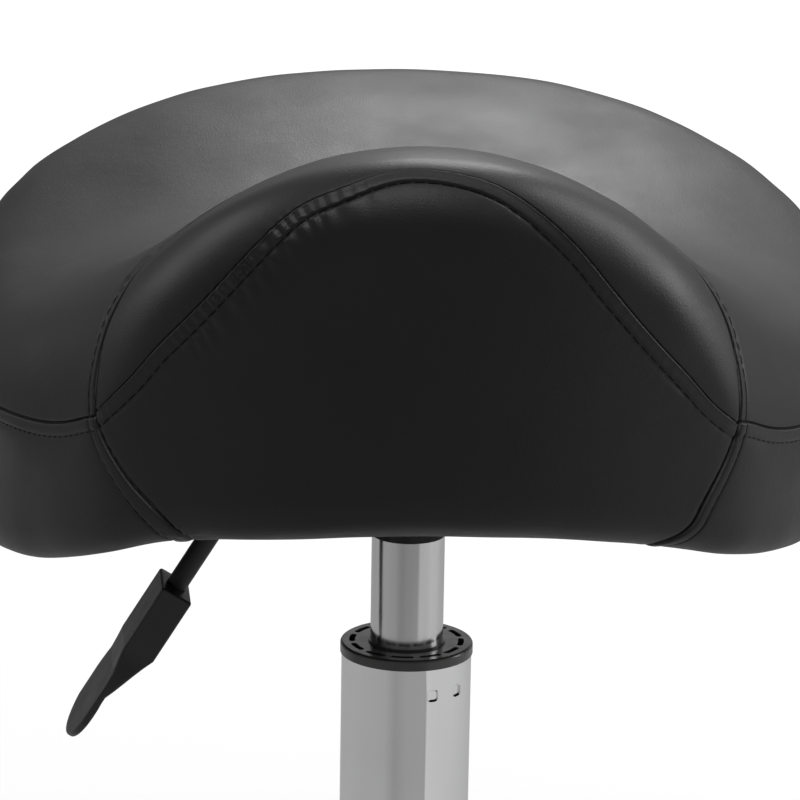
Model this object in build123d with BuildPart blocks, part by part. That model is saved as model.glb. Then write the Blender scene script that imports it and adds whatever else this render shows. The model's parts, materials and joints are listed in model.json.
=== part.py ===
from build123d import *
import os
from math import cos, radians, sin, sqrt, tan

# A rolling stylist stool: a saddle seat on a gas lift, over a five-legged base on twin-wheel casters.
# Frame: the origin is on the floor under the column's axis, +Z is up, -Y is the front, where the pommel is.
# The stool stands at its lowest setting. Every size is in millimetres.

os.makedirs("parts", exist_ok=True)

# ---- Driving sizes ---------------------------------------------------------------------------------------

# Fits
running_clearance = 0.05        # radial, a shaft turning or sliding in its bore
seating_clearance = 0.02        # radial, parts that are seated in each other
side_clearance = 0.4            # between parts that turn past each other
soft_clearance = 0.3            # between the foam and what it lies on

# Casters
caster_count = 5
caster_circle_radius = 235.0
wheel_diameter = 50.0
wheel_width = 17.0
wheel_cap_thickness = 2.0       # outer wall that closes the wheel's bore
wheel_rim_thickness = 4.5
wheel_hub_radius = 8.0
wheel_web_thickness = 5.0
axle_diameter = 8.0
caster_trail = 20.0             # stem axis to axle
hood_web_thickness = 8.0
hood_wall_thickness = 2.6
hood_wheel_gap = 1.2            # between the wheel's tread and the hood
hood_boss_diameter = 20.0
hood_boss_rise = 6.0            # boss above the hood's crown
stem_diameter = 11.0
stem_collar_diameter = 16.0
stem_collar_thickness = 1.0
stem_lower_length = 12.5        # in the hood
stem_upper_length = 23.0        # in the leg
stem_groove_depth = 0.8
stem_groove_width = 3.0
stem_groove_height = 12.0       # above the collar

# Base
first_leg_angle = -90.0
leg_root_radius = 22.0
leg_root_width = 34.0
leg_root_height = 40.0
leg_tip_width = 25.0
leg_tip_height = 22.0
leg_rise = 24.0                 # underside of a leg, from its tip up to the hub
leg_wall = 3.5
leg_tip_diameter = 32.0
leg_tip_step = 4.0              # tip's cap above the leg's arched top
hub_diameter = 68.0
hub_height = 62.0
hub_skirt = 6.0                 # hub below the roots' underside
hub_edge_radius = 3.0
leg_edge_radius = 3.0

# Column
column_diameter = 50.0
column_wall = 1.5
column_length = 270.0
column_foot_taper = 1.25        # degrees, on the part of the tube inside the hub
column_floor_thickness = 3.0
column_above_tips = 8.0         # foot of the column above the legs' tips
crimp_size = 5.0
crimp_depth = 0.8
crimp_below_top = 10.5
crimp_angles = (-67.6, -41.0, 112.4, 139.0)

# Guide bush in the column's mouth
bush_length = 66.0
bush_flange_diameter = 51.0
bush_flange_thickness = 4.2
bush_flange_edge = 1.0
bush_skin = 2.5
bush_lip_width = 0.7
bush_lip_height = 0.8
bush_slot_count = 12
bush_slot_radius = 20.95
bush_slot_width = 2.3
bush_slot_arc = 18.0            # degrees
bush_slot_depth = 2.6
bush_slot_turn = -6.3           # degrees, first slot from +X

# Gas lift
cylinder_diameter = 28.0
cylinder_wall = 1.5
stroke = 150.0
rest_exposure = 42.6            # bright length of the cylinder above the bush at the lowest setting
chamber_diameter = 22.0
chamber_wall = 1.0
rod_diameter = 10.0
rod_neck_diameter = 8.0
piston_length = 12.0
piston_seal_width = 3.0
piston_seal_depth = 1.6
gland_length = 20.0
gland_recess = 2.0              # gland above the cylinder's lower edge
rod_seal_width = 4.0
rod_seal_depth = 2.4
buffer_length = 12.0
buffer_diameter = 22.0
buffer_gap = 2.0                # between the buffer and the cylinder's lower edge
thrust_washer_thickness = 1.5
thrust_diameter = 30.0
ball_diameter = 4.0
ball_count = 12
ball_cage_thickness = 2.0
clip_diameter = 17.0
clip_thickness = 1.2
clip_groove_depth = 1.0
rod_foot = 3.0                  # rod below its clip
piston_below_valve = 66.0       # piston's crown below the valve at the lowest setting
valve_flange_thickness = 8.0
valve_stem_diameter = 16.0
valve_pin_diameter = 6.0
valve_pin_length = 26.0
valve_pin_rise = 5.9            # pin above the taper's end
valve_pin_room = 8.0            # bore under the pin
taper_length = 31.0
taper_angle = 1.43              # degrees, each side
taper_step = 0.15               # taper's foot inside the cylinder's outside

# Mounting plate
plate_thickness = 3.0
plate_length = 92.0             # along X
plate_width = 144.0             # along Y
channel_width = 44.0            # inside
channel_depth = 23.0            # inside
socket_wall = 5.0
socket_length = 25.0
socket_drop = 1.0               # taper's end above the channel's floor
bolt_spacing_x = 64.0
bolt_spacing_y = 112.0
bolt_diameter = 6.0
bolt_hole_clearance = 0.3
bolt_head_across = 10.0
bolt_head_height = 4.0
washer_diameter = 12.0
washer_thickness = 1.6

# Lever
lever_rod_diameter = 8.0
lever_pivot_x = -36.0
lever_hub_diameter = 16.0
lever_pin_diameter = 6.0
lever_pin_head_diameter = 10.0
lever_pin_head_height = 2.5
lever_pin_tail = 4.0
lever_clip_thickness = 1.0
lever_inner_reach = 8.0         # past the valve pin's axis
lever_bend_x = -49.5
lever_bend_radius = 12.0
lever_tilt = 32.0               # degrees from vertical
handle_start = 73.5             # along the rod from its bend
handle_length = 72.5
handle_turn = 5.4                # degrees about the rod, far side up
handle_socket_length = 27.8
handle_socket_width = 23.0
handle_socket_thickness = 13.0
handle_gusset_length = 20.6
handle_flare_length = 22.0       # from the socket's width to the blade's
handle_blade_width = 31.0
handle_blade_thickness = 2.9
handle_blade_sink = 1.2          # blade's top below the socket's
blade_round = 11.0               # depth of the blade's rounded end
handle_edge = 1.0
rod_in_handle = 28.0

# Seat board and what holds it
board_gap = 12.0                # from the lever's axis up to the board
board_thickness = 10.0
board_flat_half_width = 60.0
board_inset = 14.0              # inside the seat's outline
board_wing_drop = 52.0          # from the flat down to the seat's widest line
board_pocket_clearance = 0.4
dust_cover_thickness = 0.8
dust_cover_margin = 2.0
tee_nut_flange_diameter = 18.0
tee_nut_flange_thickness = 1.5
tee_nut_barrel_diameter = 8.4
tee_nut_length = 8.5
tee_nut_gap = 0.15

# Seat, with heights measured from the board's underside
seat_half_width = 176.0
seat_widest_y = 60.0
seat_front_y = -150.0
seat_rear_y = 190.0
seat_corner_x = 111.0
seat_corner_y = -114.0
shoulder_x = 60.0
slab_margin = 14.0              # the saddle's slab beyond the seat's outline
front_saddle = (110.0, 95.0, 10.0)      # heights at the centre, at the shoulder and at the slab's edge
pommel_saddle = (117.0, 101.5, 18.0)
waist_saddle = (84.0, 77.0, 15.0)
dip_saddle = (64.0, 62.0, 30.0)
rear_saddle = (82.5, 81.0, 53.0)
cantle_saddle = (96.0, 94.5, 63.0)
pommel_y = -112.0
waist_y = -40.0
dip_y = 45.0
rear_y = 120.0
rim_centre = -12.5
rim_flat_half_width = 30.0
rim_arc_middle = (85.0, -24.5)
rim_arc_end = (140.0, -52.0)
rim_wing_rise = 5.0
seat_corner_radius = 30.0
seat_top_edge_radius = 17.0
seat_bottom_edge_radius = 16.0
cover_thickness = 2.0
seam_width = 2.0
seam_depth = 1.2
front_seam = ((0.0, 111.0), (30.0, 105.0), (111.0, 20.0))      # (x, height), from the middle out
side_seam = ((-116.0, 20.0), (-35.0, 7.5), (50.0, 6.0), (125.0, 24.0), (200.0, 60.0))     # (y, height)

# ---- Heights, counted up from the floor --------------------------------------------------------------------

wheel_radius = wheel_diameter / 2
hood_radius = wheel_radius + hood_wheel_gap + hood_wall_thickness
hood_top = wheel_radius + hood_radius
boss_top = hood_top + hood_boss_rise
leg_tip_underside = boss_top + stem_collar_thickness
leg_tip_top = leg_tip_underside + leg_tip_height
leg_root_underside = leg_tip_underside + leg_rise
hub_bottom = leg_root_underside - hub_skirt
hub_top = hub_bottom + hub_height

column_radius = column_diameter / 2
column_bore_radius = column_radius - column_wall
column_bottom = leg_tip_underside + column_above_tips
column_top = column_bottom + column_length
column_foot_radius = column_radius - (hub_top - column_bottom) * tan(radians(column_foot_taper))
bush_top = column_top + bush_flange_thickness
bush_bottom = column_top - bush_length

bearing_floor = column_bottom + column_floor_thickness
ball_floor = bearing_floor + thrust_washer_thickness
upper_washer_bottom = ball_floor + ball_diameter
buffer_bottom = upper_washer_bottom + thrust_washer_thickness
cylinder_bottom = buffer_bottom + buffer_length + buffer_gap
taper_bottom = bush_top + rest_exposure
taper_top = taper_bottom + taper_length
gland_bottom = cylinder_bottom + gland_recess
gland_top = gland_bottom + gland_length
valve_bottom = taper_bottom - valve_flange_thickness
piston_top = valve_bottom - piston_below_valve
piston_bottom = piston_top - piston_length
valve_pin_top = taper_top + valve_pin_rise
valve_pin_bottom = valve_pin_top - valve_pin_length

cylinder_radius = cylinder_diameter / 2
cylinder_bore_radius = cylinder_radius - cylinder_wall
chamber_radius = chamber_diameter / 2
chamber_bore_radius = chamber_radius - chamber_wall
rod_radius = rod_diameter / 2
rod_neck_radius = rod_neck_diameter / 2
taper_foot_radius = cylinder_radius - taper_step
taper_slope = tan(radians(taper_angle))
taper_end_radius = taper_foot_radius - taper_length * taper_slope

channel_floor = taper_top - socket_drop
lever_z = valve_pin_top + running_clearance + lever_rod_diameter / 2
board_bottom = lever_z + board_gap
board_top = board_bottom + board_thickness
plate_top = board_bottom
plate_underside = plate_top - plate_thickness

print(f"taper foot {taper_bottom:.2f}, board {board_bottom:.2f}, pommel {board_bottom + pommel_saddle[0]:.2f}")

# ---- Helpers -----------------------------------------------------------------------------------------------


def turn(points, mode=Mode.ADD):
    """Turn a closed outline of (radius, height) points about the column's axis, in the part being built."""
    with BuildSketch(Plane.XZ) as outline:
        with BuildLine():
            Polyline(*points, close=True)
        make_face()
    revolve(outline.sketch, axis=Axis.Z, mode=mode)


def ring(inner_radius, outer_radius, bottom, top, mode=Mode.ADD):
    """A plain ring or disc about the column's axis."""
    turn([(inner_radius, bottom), (outer_radius, bottom), (outer_radius, top), (inner_radius, top)], mode)


def finish(part, name):
    """Label a finished piece and write it."""
    part.label = name
    export_step(part, f"parts/{name}.step")


# ---- Star base ---------------------------------------------------------------------------------------------


def leg_section(distance, width, low, high):
    """A leg's section square to +X: flat below, with upright sides and an arched top."""
    arch = width / 5
    with BuildSketch(Plane(origin=(distance, 0, 0), x_dir=(0, 1, 0), z_dir=(1, 0, 0))) as section:
        with BuildLine():
            Line((-width / 2, high - arch), (-width / 2, low))
            Line((-width / 2, low), (width / 2, low))
            Line((width / 2, low), (width / 2, high - arch))
            ThreePointArc((width / 2, high - arch), (0, high), (-width / 2, high - arch))
        make_face()
    return section.sketch


leg_middle_radius = (leg_root_radius + caster_circle_radius) / 2
leg_middle_underside = leg_tip_underside + 0.55 * leg_rise
leg_middle_width = (leg_root_width + leg_tip_width) / 2
leg_middle_height = (leg_root_height + leg_tip_height) / 2
leg_hollow_end = caster_circle_radius - leg_tip_diameter / 2

with BuildPart() as leg:
    loft([
        leg_section(leg_root_radius, leg_root_width, leg_root_underside, leg_root_underside + leg_root_height),
        leg_section(
            leg_middle_radius, leg_middle_width, leg_middle_underside, leg_middle_underside + leg_middle_height
        ),
        leg_section(caster_circle_radius, leg_tip_width, leg_tip_underside, leg_tip_top - leg_tip_step),
    ])
    fillet(leg.edges().filter_by(lambda edge: edge.length > 100).group_by(Axis.Z)[-1], leg_edge_radius)
    loft([
        leg_section(
            leg_root_radius,
            leg_root_width - 2 * leg_wall,
            leg_root_underside - leg_wall,
            leg_root_underside + leg_root_height - leg_wall,
        ),
        leg_section(
            leg_middle_radius,
            leg_middle_width - 2 * leg_wall,
            leg_middle_underside - leg_wall,
            leg_middle_underside + leg_middle_height - leg_wall,
        ),
        leg_section(
            leg_hollow_end,
            leg_tip_width - 2 * leg_wall,
            leg_tip_underside - leg_wall,
            leg_tip_top - leg_tip_step - leg_wall,
        ),
    ], mode=Mode.SUBTRACT)
    with BuildSketch(Plane.XY.offset(leg_tip_underside)):
        with Locations((caster_circle_radius, 0)):
            Circle(leg_tip_diameter / 2)
    extrude(amount=leg_tip_height)
    fillet(leg.edges().filter_by(GeomType.CIRCLE).group_by(Axis.Z)[-1], leg_edge_radius)

with BuildPart() as star_base:
    with PolarLocations(0, caster_count, start_angle=first_leg_angle):
        add(leg.part)
    ring(0, hub_diameter / 2, hub_bottom, hub_top)
    fillet(star_base.edges().filter_by(GeomType.CIRCLE).group_by(Axis.Z)[-1], hub_edge_radius)
    turn([
        (0, hub_bottom - 1),
        (column_foot_radius + seating_clearance + (hub_bottom - column_bottom) * tan(radians(column_foot_taper)),
         hub_bottom - 1),
        (column_radius + seating_clearance, hub_top),
        (column_radius + seating_clearance, hub_top + 1),
        (0, hub_top + 1),
    ], Mode.SUBTRACT)
    with BuildSketch(Plane.XY.offset(leg_tip_underside)):
        with PolarLocations(caster_circle_radius, caster_count, start_angle=first_leg_angle):
            Circle(stem_diameter / 2 + seating_clearance)
    extrude(amount=stem_upper_length - stem_collar_thickness + 0.5, mode=Mode.SUBTRACT)
finish(star_base.part, "star_base")

# ---- Column tube -------------------------------------------------------------------------------------------

with BuildPart() as column_tube:
    turn([
        (rod_neck_radius + side_clearance, column_bottom),
        (column_foot_radius, column_bottom),
        (column_radius, hub_top),
        (column_radius, column_top),
        (column_bore_radius, column_top),
        (column_bore_radius, hub_top),
        (column_foot_radius - column_wall, bearing_floor),
        (rod_neck_radius + side_clearance, bearing_floor),
    ])
    for angle in crimp_angles:
        outward = (cos(radians(angle)), sin(radians(angle)), 0)
        crimp_floor = tuple((column_radius - crimp_depth) * part for part in outward)
        crimp_plane = Plane(
            origin=(crimp_floor[0], crimp_floor[1], column_top - crimp_below_top), x_dir=(0, 0, 1), z_dir=outward
        )
        with BuildSketch(crimp_plane) as crimp:
            RectangleRounded(crimp_size - 2 * crimp_depth, crimp_size - 2 * crimp_depth, crimp_depth)
        extrude(crimp.sketch, amount=2 * crimp_depth, taper=-40, mode=Mode.SUBTRACT)
finish(column_tube.part, "column_tube")

# ---- Guide bush --------------------------------------------------------------------------------------------

bush_bore_radius = cylinder_radius + running_clearance
bush_sleeve_radius = column_bore_radius - seating_clearance
with BuildPart() as guide_bush:
    turn([
        (bush_bore_radius, bush_bottom),
        (bush_bore_radius + bush_skin, bush_bottom),
        (bush_bore_radius + bush_skin, column_top - bush_skin),
        (bush_sleeve_radius - bush_skin, column_top - bush_skin),
        (bush_sleeve_radius - bush_skin, bush_bottom),
        (bush_sleeve_radius, bush_bottom),
        (bush_sleeve_radius, column_top),
        (bush_flange_diameter / 2, column_top),
        (bush_flange_diameter / 2, bush_top),
        (bush_bore_radius + bush_lip_width, bush_top),
        (bush_bore_radius + bush_lip_width, bush_top + bush_lip_height),
        (bush_bore_radius, bush_top + bush_lip_height),
    ])
    fillet(
        guide_bush.edges().filter_by(GeomType.CIRCLE).filter_by(
            lambda edge: abs(edge.radius - bush_flange_diameter / 2) < 0.01 and edge.center().Z > column_top + 1
        ),
        bush_flange_edge,
    )
    with BuildSketch(Plane.XY.offset(bush_top)):
        for slot in range(bush_slot_count):
            slot_start = bush_slot_turn + slot * 360 / bush_slot_count - bush_slot_arc / 2
            SlotArc(
                CenterArc((0, 0), bush_slot_radius, slot_start, arc_size=bush_slot_arc, mode=Mode.PRIVATE),
                bush_slot_width,
            )
    extrude(amount=-bush_slot_depth, mode=Mode.SUBTRACT)
finish(guide_bush.part, "guide_bush")

# ---- Thrust bearing ----------------------------------------------------------------------------------------

bearing_bore_radius = rod_neck_radius + side_clearance
ball_circle_radius = (bearing_bore_radius + thrust_diameter / 2) / 2
ball_z = ball_floor + ball_diameter / 2

with BuildPart() as thrust_washer_lower:
    ring(bearing_bore_radius, thrust_diameter / 2, bearing_floor, ball_floor)
finish(thrust_washer_lower.part, "thrust_washer_lower")

with BuildPart() as bearing_balls:
    with Locations((0, 0, ball_z)):
        with PolarLocations(ball_circle_radius, ball_count):
            Sphere(ball_diameter / 2)
finish(bearing_balls.part, "bearing_balls")

with BuildPart() as ball_cage:
    ring(
        bearing_bore_radius,
        thrust_diameter / 2,
        ball_z - ball_cage_thickness / 2,
        ball_z + ball_cage_thickness / 2,
    )
    with BuildSketch(Plane.XY.offset(ball_z - ball_diameter)):
        with PolarLocations(ball_circle_radius, ball_count):
            Circle(ball_diameter / 2 + running_clearance)
    extrude(amount=2 * ball_diameter, mode=Mode.SUBTRACT)
finish(ball_cage.part, "ball_cage")

with BuildPart() as thrust_washer_upper:
    ring(rod_neck_radius + seating_clearance, thrust_diameter / 2, upper_washer_bottom, buffer_bottom)
finish(thrust_washer_upper.part, "thrust_washer_upper")

with BuildPart() as rubber_buffer:
    ring(rod_radius + seating_clearance, buffer_diameter / 2, buffer_bottom, buffer_bottom + buffer_length)
    fillet(rubber_buffer.edges().filter_by(GeomType.CIRCLE).group_by(SortBy.RADIUS)[-1], 1.5)
finish(rubber_buffer.part, "rubber_buffer")

# ---- Piston rod, piston and clip ---------------------------------------------------------------------------

clip_top = column_bottom - side_clearance
clip_bottom = clip_top - clip_thickness
rod_bottom = clip_bottom - rod_foot
with BuildPart() as piston_rod:
    ring(0, rod_neck_radius, rod_bottom, buffer_bottom)
    ring(0, rod_radius, buffer_bottom, piston_bottom)
    ring(0, rod_neck_radius, piston_bottom, piston_top)
    ring(rod_neck_radius - clip_groove_depth, rod_neck_radius + 1, clip_bottom, clip_top, Mode.SUBTRACT)
    chamfer(piston_rod.edges().filter_by(GeomType.CIRCLE).group_by(Axis.Z)[0], 0.8)
finish(piston_rod.part, "piston_rod")

with BuildPart() as rod_clip:
    ring(rod_neck_radius - clip_groove_depth + seating_clearance, clip_diameter / 2, clip_bottom, clip_top)
    with BuildSketch(Plane.XY.offset(clip_bottom)):
        with Locations((clip_diameter / 2, 0)):
            Rectangle(clip_diameter, rod_neck_diameter - 3 * clip_groove_depth)
    extrude(amount=clip_thickness, mode=Mode.SUBTRACT)
finish(rod_clip.part, "rod_clip")

piston_radius = chamber_bore_radius - running_clearance
seal_bottom = (piston_bottom + piston_top - piston_seal_width) / 2
with BuildPart() as piston:
    ring(rod_neck_radius + seating_clearance, piston_radius, piston_bottom, piston_top)
    ring(
        piston_radius - piston_seal_depth,
        piston_radius + 1,
        seal_bottom,
        seal_bottom + piston_seal_width,
        Mode.SUBTRACT,
    )
finish(piston.part, "piston")

with BuildPart() as piston_seal:
    ring(
        piston_radius - piston_seal_depth + seating_clearance,
        chamber_bore_radius - seating_clearance,
        seal_bottom + seating_clearance,
        seal_bottom + piston_seal_width - seating_clearance,
    )
finish(piston_seal.part, "piston_seal")

# ---- Cylinder, chamber, gland and valve --------------------------------------------------------------------

with BuildPart() as gas_cylinder:
    ring(cylinder_bore_radius, cylinder_radius, cylinder_bottom, taper_bottom)
    fillet(gas_cylinder.edges().filter_by(GeomType.CIRCLE).group_by(Axis.Z)[0].sort_by(SortBy.RADIUS)[-1:], 1.0)
finish(gas_cylinder.part, "gas_cylinder")

with BuildPart() as gas_chamber:
    ring(chamber_bore_radius, chamber_radius, gland_top, valve_bottom)
finish(gas_chamber.part, "gas_chamber")

gland_bore_radius = rod_radius + running_clearance
with BuildPart() as rod_gland:
    ring(gland_bore_radius, cylinder_bore_radius - seating_clearance, gland_bottom, gland_top)
    ring(
        0,
        rod_radius + rod_seal_depth,
        gland_top - rod_seal_width,
        gland_top,
        Mode.SUBTRACT,
    )
finish(rod_gland.part, "rod_gland")

with BuildPart() as rod_seal:
    ring(
        gland_bore_radius,
        rod_radius + rod_seal_depth - seating_clearance,
        gland_top - rod_seal_width,
        gland_top,
    )
finish(rod_seal.part, "rod_seal")

valve_stem_radius = valve_stem_diameter / 2
valve_pin_radius = valve_pin_diameter / 2
with BuildPart() as taper_cone:
    turn([
        (valve_stem_radius + seating_clearance, taper_bottom),
        (taper_foot_radius, taper_bottom),
        (taper_end_radius, taper_top),
        (valve_stem_radius + seating_clearance, taper_top),
    ])
    chamfer(taper_cone.edges().filter_by(GeomType.CIRCLE).group_by(Axis.Z)[-1].sort_by(SortBy.RADIUS)[-1:], 0.8)
finish(taper_cone.part, "taper_cone")

with BuildPart() as valve_body:
    ring(0, cylinder_bore_radius - seating_clearance, valve_bottom, taper_bottom)
    ring(0, valve_stem_radius, taper_bottom, taper_top)
    ring(0, valve_pin_radius + running_clearance, valve_pin_bottom - valve_pin_room, taper_top, Mode.SUBTRACT)
finish(valve_body.part, "valve_body")

with BuildPart() as valve_pin:
    ring(0, valve_pin_radius, valve_pin_bottom, valve_pin_top)
    fillet(valve_pin.edges().filter_by(GeomType.CIRCLE).group_by(Axis.Z)[-1], 1.0)
finish(valve_pin.part, "valve_pin")

# ---- Mounting plate ----------------------------------------------------------------------------------------

channel_half = channel_width / 2
channel_underside = channel_floor - plate_thickness
lever_pin_radius = lever_pin_diameter / 2
bolt_radius = bolt_diameter / 2
socket_bottom = channel_floor - socket_length
socket_slack = seating_clearance + taper_foot_radius

with BuildPart() as mounting_plate:
    with BuildSketch(Plane.YZ.offset(-plate_length / 2)):
        with BuildLine():
            Polyline(
                (-plate_width / 2, plate_top),
                (-channel_half, plate_top),
                (-channel_half, channel_floor),
                (channel_half, channel_floor),
                (channel_half, plate_top),
                (plate_width / 2, plate_top),
                (plate_width / 2, plate_underside),
                (channel_half + plate_thickness, plate_underside),
                (channel_half + plate_thickness, channel_underside),
                (-channel_half - plate_thickness, channel_underside),
                (-channel_half - plate_thickness, plate_underside),
                (-plate_width / 2, plate_underside),
                close=True,
            )
        make_face()
    extrude(amount=plate_length)
    fillet(
        mounting_plate.edges().filter_by(Axis.X).filter_by(
            lambda edge: abs(abs(edge.center().Y) - channel_half - plate_thickness) < 0.01
        ),
        2.0,
    )
    fillet(
        mounting_plate.edges().filter_by(Axis.Z).filter_by(
            lambda edge: abs(abs(edge.center().Y) - plate_width / 2) < 0.01
        ),
        10.0,
    )
    ring(0, taper_foot_radius + socket_wall, socket_bottom, channel_floor)
    turn([
        (0, socket_bottom - 1),
        (socket_slack - (socket_bottom - 1 - taper_bottom) * taper_slope, socket_bottom - 1),
        (socket_slack - (channel_floor + 1 - taper_bottom) * taper_slope, channel_floor + 1),
        (0, channel_floor + 1),
    ], Mode.SUBTRACT)
    with BuildSketch(Plane.XY.offset(plate_top)):
        with GridLocations(bolt_spacing_x, bolt_spacing_y, 2, 2):
            Circle(bolt_radius + bolt_hole_clearance)
    extrude(amount=-plate_thickness, mode=Mode.SUBTRACT)
    with BuildSketch(Plane.XZ):
        with Locations((lever_pivot_x, lever_z)):
            Circle(lever_pin_radius + seating_clearance)
    extrude(amount=channel_width, both=True, mode=Mode.SUBTRACT)
finish(mounting_plate.part, "mounting_plate")

washer_bottom = plate_underside - washer_thickness
with BuildPart() as plate_washers:
    with BuildSketch(Plane.XY.offset(washer_bottom)):
        with GridLocations(bolt_spacing_x, bolt_spacing_y, 2, 2):
            Circle(washer_diameter / 2)
            Circle(bolt_radius + bolt_hole_clearance, mode=Mode.SUBTRACT)
    extrude(amount=washer_thickness)
finish(plate_washers.part, "plate_washers")

with BuildPart() as plate_bolts:
    with BuildSketch(Plane.XY.offset(washer_bottom - bolt_head_height)):
        with GridLocations(bolt_spacing_x, bolt_spacing_y, 2, 2):
            RegularPolygon(bolt_head_across / 2, 6, major_radius=False)
    extrude(amount=bolt_head_height)
    with BuildSketch(Plane.XY.offset(washer_bottom)):
        with GridLocations(bolt_spacing_x, bolt_spacing_y, 2, 2):
            Circle(bolt_radius)
    extrude(amount=board_top - tee_nut_flange_thickness - washer_bottom)
finish(plate_bolts.part, "plate_bolts")

# ---- Lever pivot -------------------------------------------------------------------------------------------

pin_outer_y = channel_half + plate_thickness
with BuildPart() as lever_pivot_pin:
    with BuildSketch(Plane.XZ.offset(pin_outer_y)):
        with Locations((lever_pivot_x, lever_z)):
            Circle(lever_pin_radius)
    extrude(amount=-(2 * pin_outer_y + lever_pin_tail))
    with BuildSketch(Plane.XZ.offset(pin_outer_y)):
        with Locations((lever_pivot_x, lever_z)):
            Circle(lever_pin_head_diameter / 2)
    extrude(amount=lever_pin_head_height)
finish(lever_pivot_pin.part, "lever_pivot_pin")

with BuildPart() as pivot_clip:
    with BuildSketch(Plane.XZ.offset(-pin_outer_y - side_clearance)):
        with Locations((lever_pivot_x, lever_z)):
            Circle(lever_pin_head_diameter / 2)
            Circle(lever_pin_radius + seating_clearance, mode=Mode.SUBTRACT)
    extrude(amount=-lever_clip_thickness)
finish(pivot_clip.part, "pivot_clip")

# ---- Lever and its handle ----------------------------------------------------------------------------------

lever_sin = sin(radians(lever_tilt))
lever_cos = cos(radians(lever_tilt))
lever_rod_radius = lever_rod_diameter / 2
rod_drop = handle_start + rod_in_handle
lever_bend = Vector(lever_bend_x, 0, lever_z)
lever_down = Vector(-lever_sin, 0, -lever_cos)
lever_end = lever_bend + lever_down * rod_drop

# The handle's own plane: its x runs down the rod from the bend, its y faces up and outwards.
handle_side = Vector(0, 1, 0).rotate(Axis((0, 0, 0), lever_down), -handle_turn)
handle_plane = Plane(origin=lever_bend, x_dir=lever_down, z_dir=handle_side)
handle_flat = Plane(origin=lever_bend, x_dir=lever_down, z_dir=handle_plane.y_dir)

with BuildPart() as lever_rod:
    with BuildLine() as rod_route:
        FilletPolyline(
            (lever_inner_reach, 0, lever_z),
            lever_bend,
            lever_end,
            radius=lever_bend_radius,
        )
    with BuildSketch(Plane(origin=(lever_inner_reach, 0, lever_z), z_dir=(-1, 0, 0))) as rod_section:
        Circle(lever_rod_radius)
    sweep(rod_section.sketch, path=rod_route.line)
    with BuildSketch(Plane.XZ.offset(-channel_half + side_clearance)):
        with Locations((lever_pivot_x, lever_z)):
            Circle(lever_hub_diameter / 2)
    extrude(amount=channel_width - 2 * side_clearance)
    with BuildSketch(Plane.XZ.offset(-channel_half)):
        with Locations((lever_pivot_x, lever_z)):
            Circle(lever_pin_radius + running_clearance)
    extrude(amount=channel_width, mode=Mode.SUBTRACT)
finish(lever_rod.part, "lever_rod")

handle_end = handle_start + handle_length
socket_end = handle_start + handle_socket_length
gusset_end = socket_end + handle_gusset_length
flare_end = socket_end + handle_flare_length
half_socket = handle_socket_thickness / 2
blade_top = half_socket - handle_blade_sink
blade_under = blade_top - handle_blade_thickness
half_blade = handle_blade_width / 2
half_socket_width = handle_socket_width / 2

with BuildPart() as lever_handle:
    with BuildSketch(handle_plane):
        with BuildLine():
            Polyline(
                (handle_start, -half_socket),
                (socket_end, -half_socket),
                (gusset_end, blade_under),
                (handle_end, blade_under),
                (handle_end, blade_top),
                (socket_end + handle_gusset_length / 2, blade_top),
                (socket_end, half_socket),
                (handle_start, half_socket),
                close=True,
            )
        make_face()
    extrude(amount=handle_blade_width, both=True)
    with BuildSketch(handle_flat.offset(-handle_socket_thickness)):
        with BuildLine():
            Line((handle_start, -half_socket_width), (socket_end, -half_socket_width))
            Spline(
                (socket_end, -half_socket_width), (flare_end, -half_blade), tangents=((1, 0), (1, 0))
            )
            Line((flare_end, -half_blade), (handle_end - blade_round, -half_blade))
            ThreePointArc(
                (handle_end - blade_round, -half_blade), (handle_end, 0), (handle_end - blade_round, half_blade)
            )
            Line((handle_end - blade_round, half_blade), (flare_end, half_blade))
            Spline((flare_end, half_blade), (socket_end, half_socket_width), tangents=((-1, 0), (-1, 0)))
            Line((socket_end, half_socket_width), (handle_start, half_socket_width))
            Line((handle_start, half_socket_width), (handle_start, -half_socket_width))
        make_face()
    extrude(amount=2 * handle_socket_thickness, mode=Mode.INTERSECT)
    fillet(lever_handle.edges(), handle_edge)
    with BuildSketch(Plane(origin=lever_bend + lever_down * handle_start, z_dir=lever_down)):
        Circle(lever_rod_radius + seating_clearance)
    extrude(amount=rod_in_handle, mode=Mode.SUBTRACT)
finish(lever_handle.part, "lever_handle")

# ---- Casters -----------------------------------------------------------------------------------------------
# One caster is made with its stem on the column's axis and its wheels trailing towards +X. Its copies are
# moved out to the legs' tips with the wheels trailing away from the column, so the stool stands still.

half_web = hood_web_thickness / 2
wheel_inner_y = half_web + side_clearance
wheel_outer_y = wheel_inner_y + wheel_width
axle_radius = axle_diameter / 2
stem_radius = stem_diameter / 2
stem_top = leg_tip_underside + stem_upper_length - stem_collar_thickness
stem_bottom = boss_top - stem_lower_length
wheel_clear_radius = wheel_radius + hood_wheel_gap
axle_plane = Plane(origin=(caster_trail, 0, wheel_radius), x_dir=(1, 0, 0), z_dir=(0, -1, 0))


def caster_places():
    """Where the casters' stems stand, turned so that +X points away from the column."""
    for number in range(caster_count):
        angle = first_leg_angle + number * 360 / caster_count
        at = (caster_circle_radius * cos(radians(angle)), caster_circle_radius * sin(radians(angle)), 0)
        yield number + 1, Location(at, (0, 0, angle))


with BuildPart() as caster_stem:
    ring(0, stem_radius, stem_bottom, stem_top)
    ring(0, stem_collar_diameter / 2, boss_top, leg_tip_underside)
    groove_bottom = leg_tip_underside + stem_groove_height
    ring(
        stem_radius - stem_groove_depth,
        stem_radius + 1,
        groove_bottom,
        groove_bottom + stem_groove_width,
        Mode.SUBTRACT,
    )
    chamfer(caster_stem.edges().filter_by(GeomType.CIRCLE).group_by(Axis.Z)[-1], 1.0)

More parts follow.
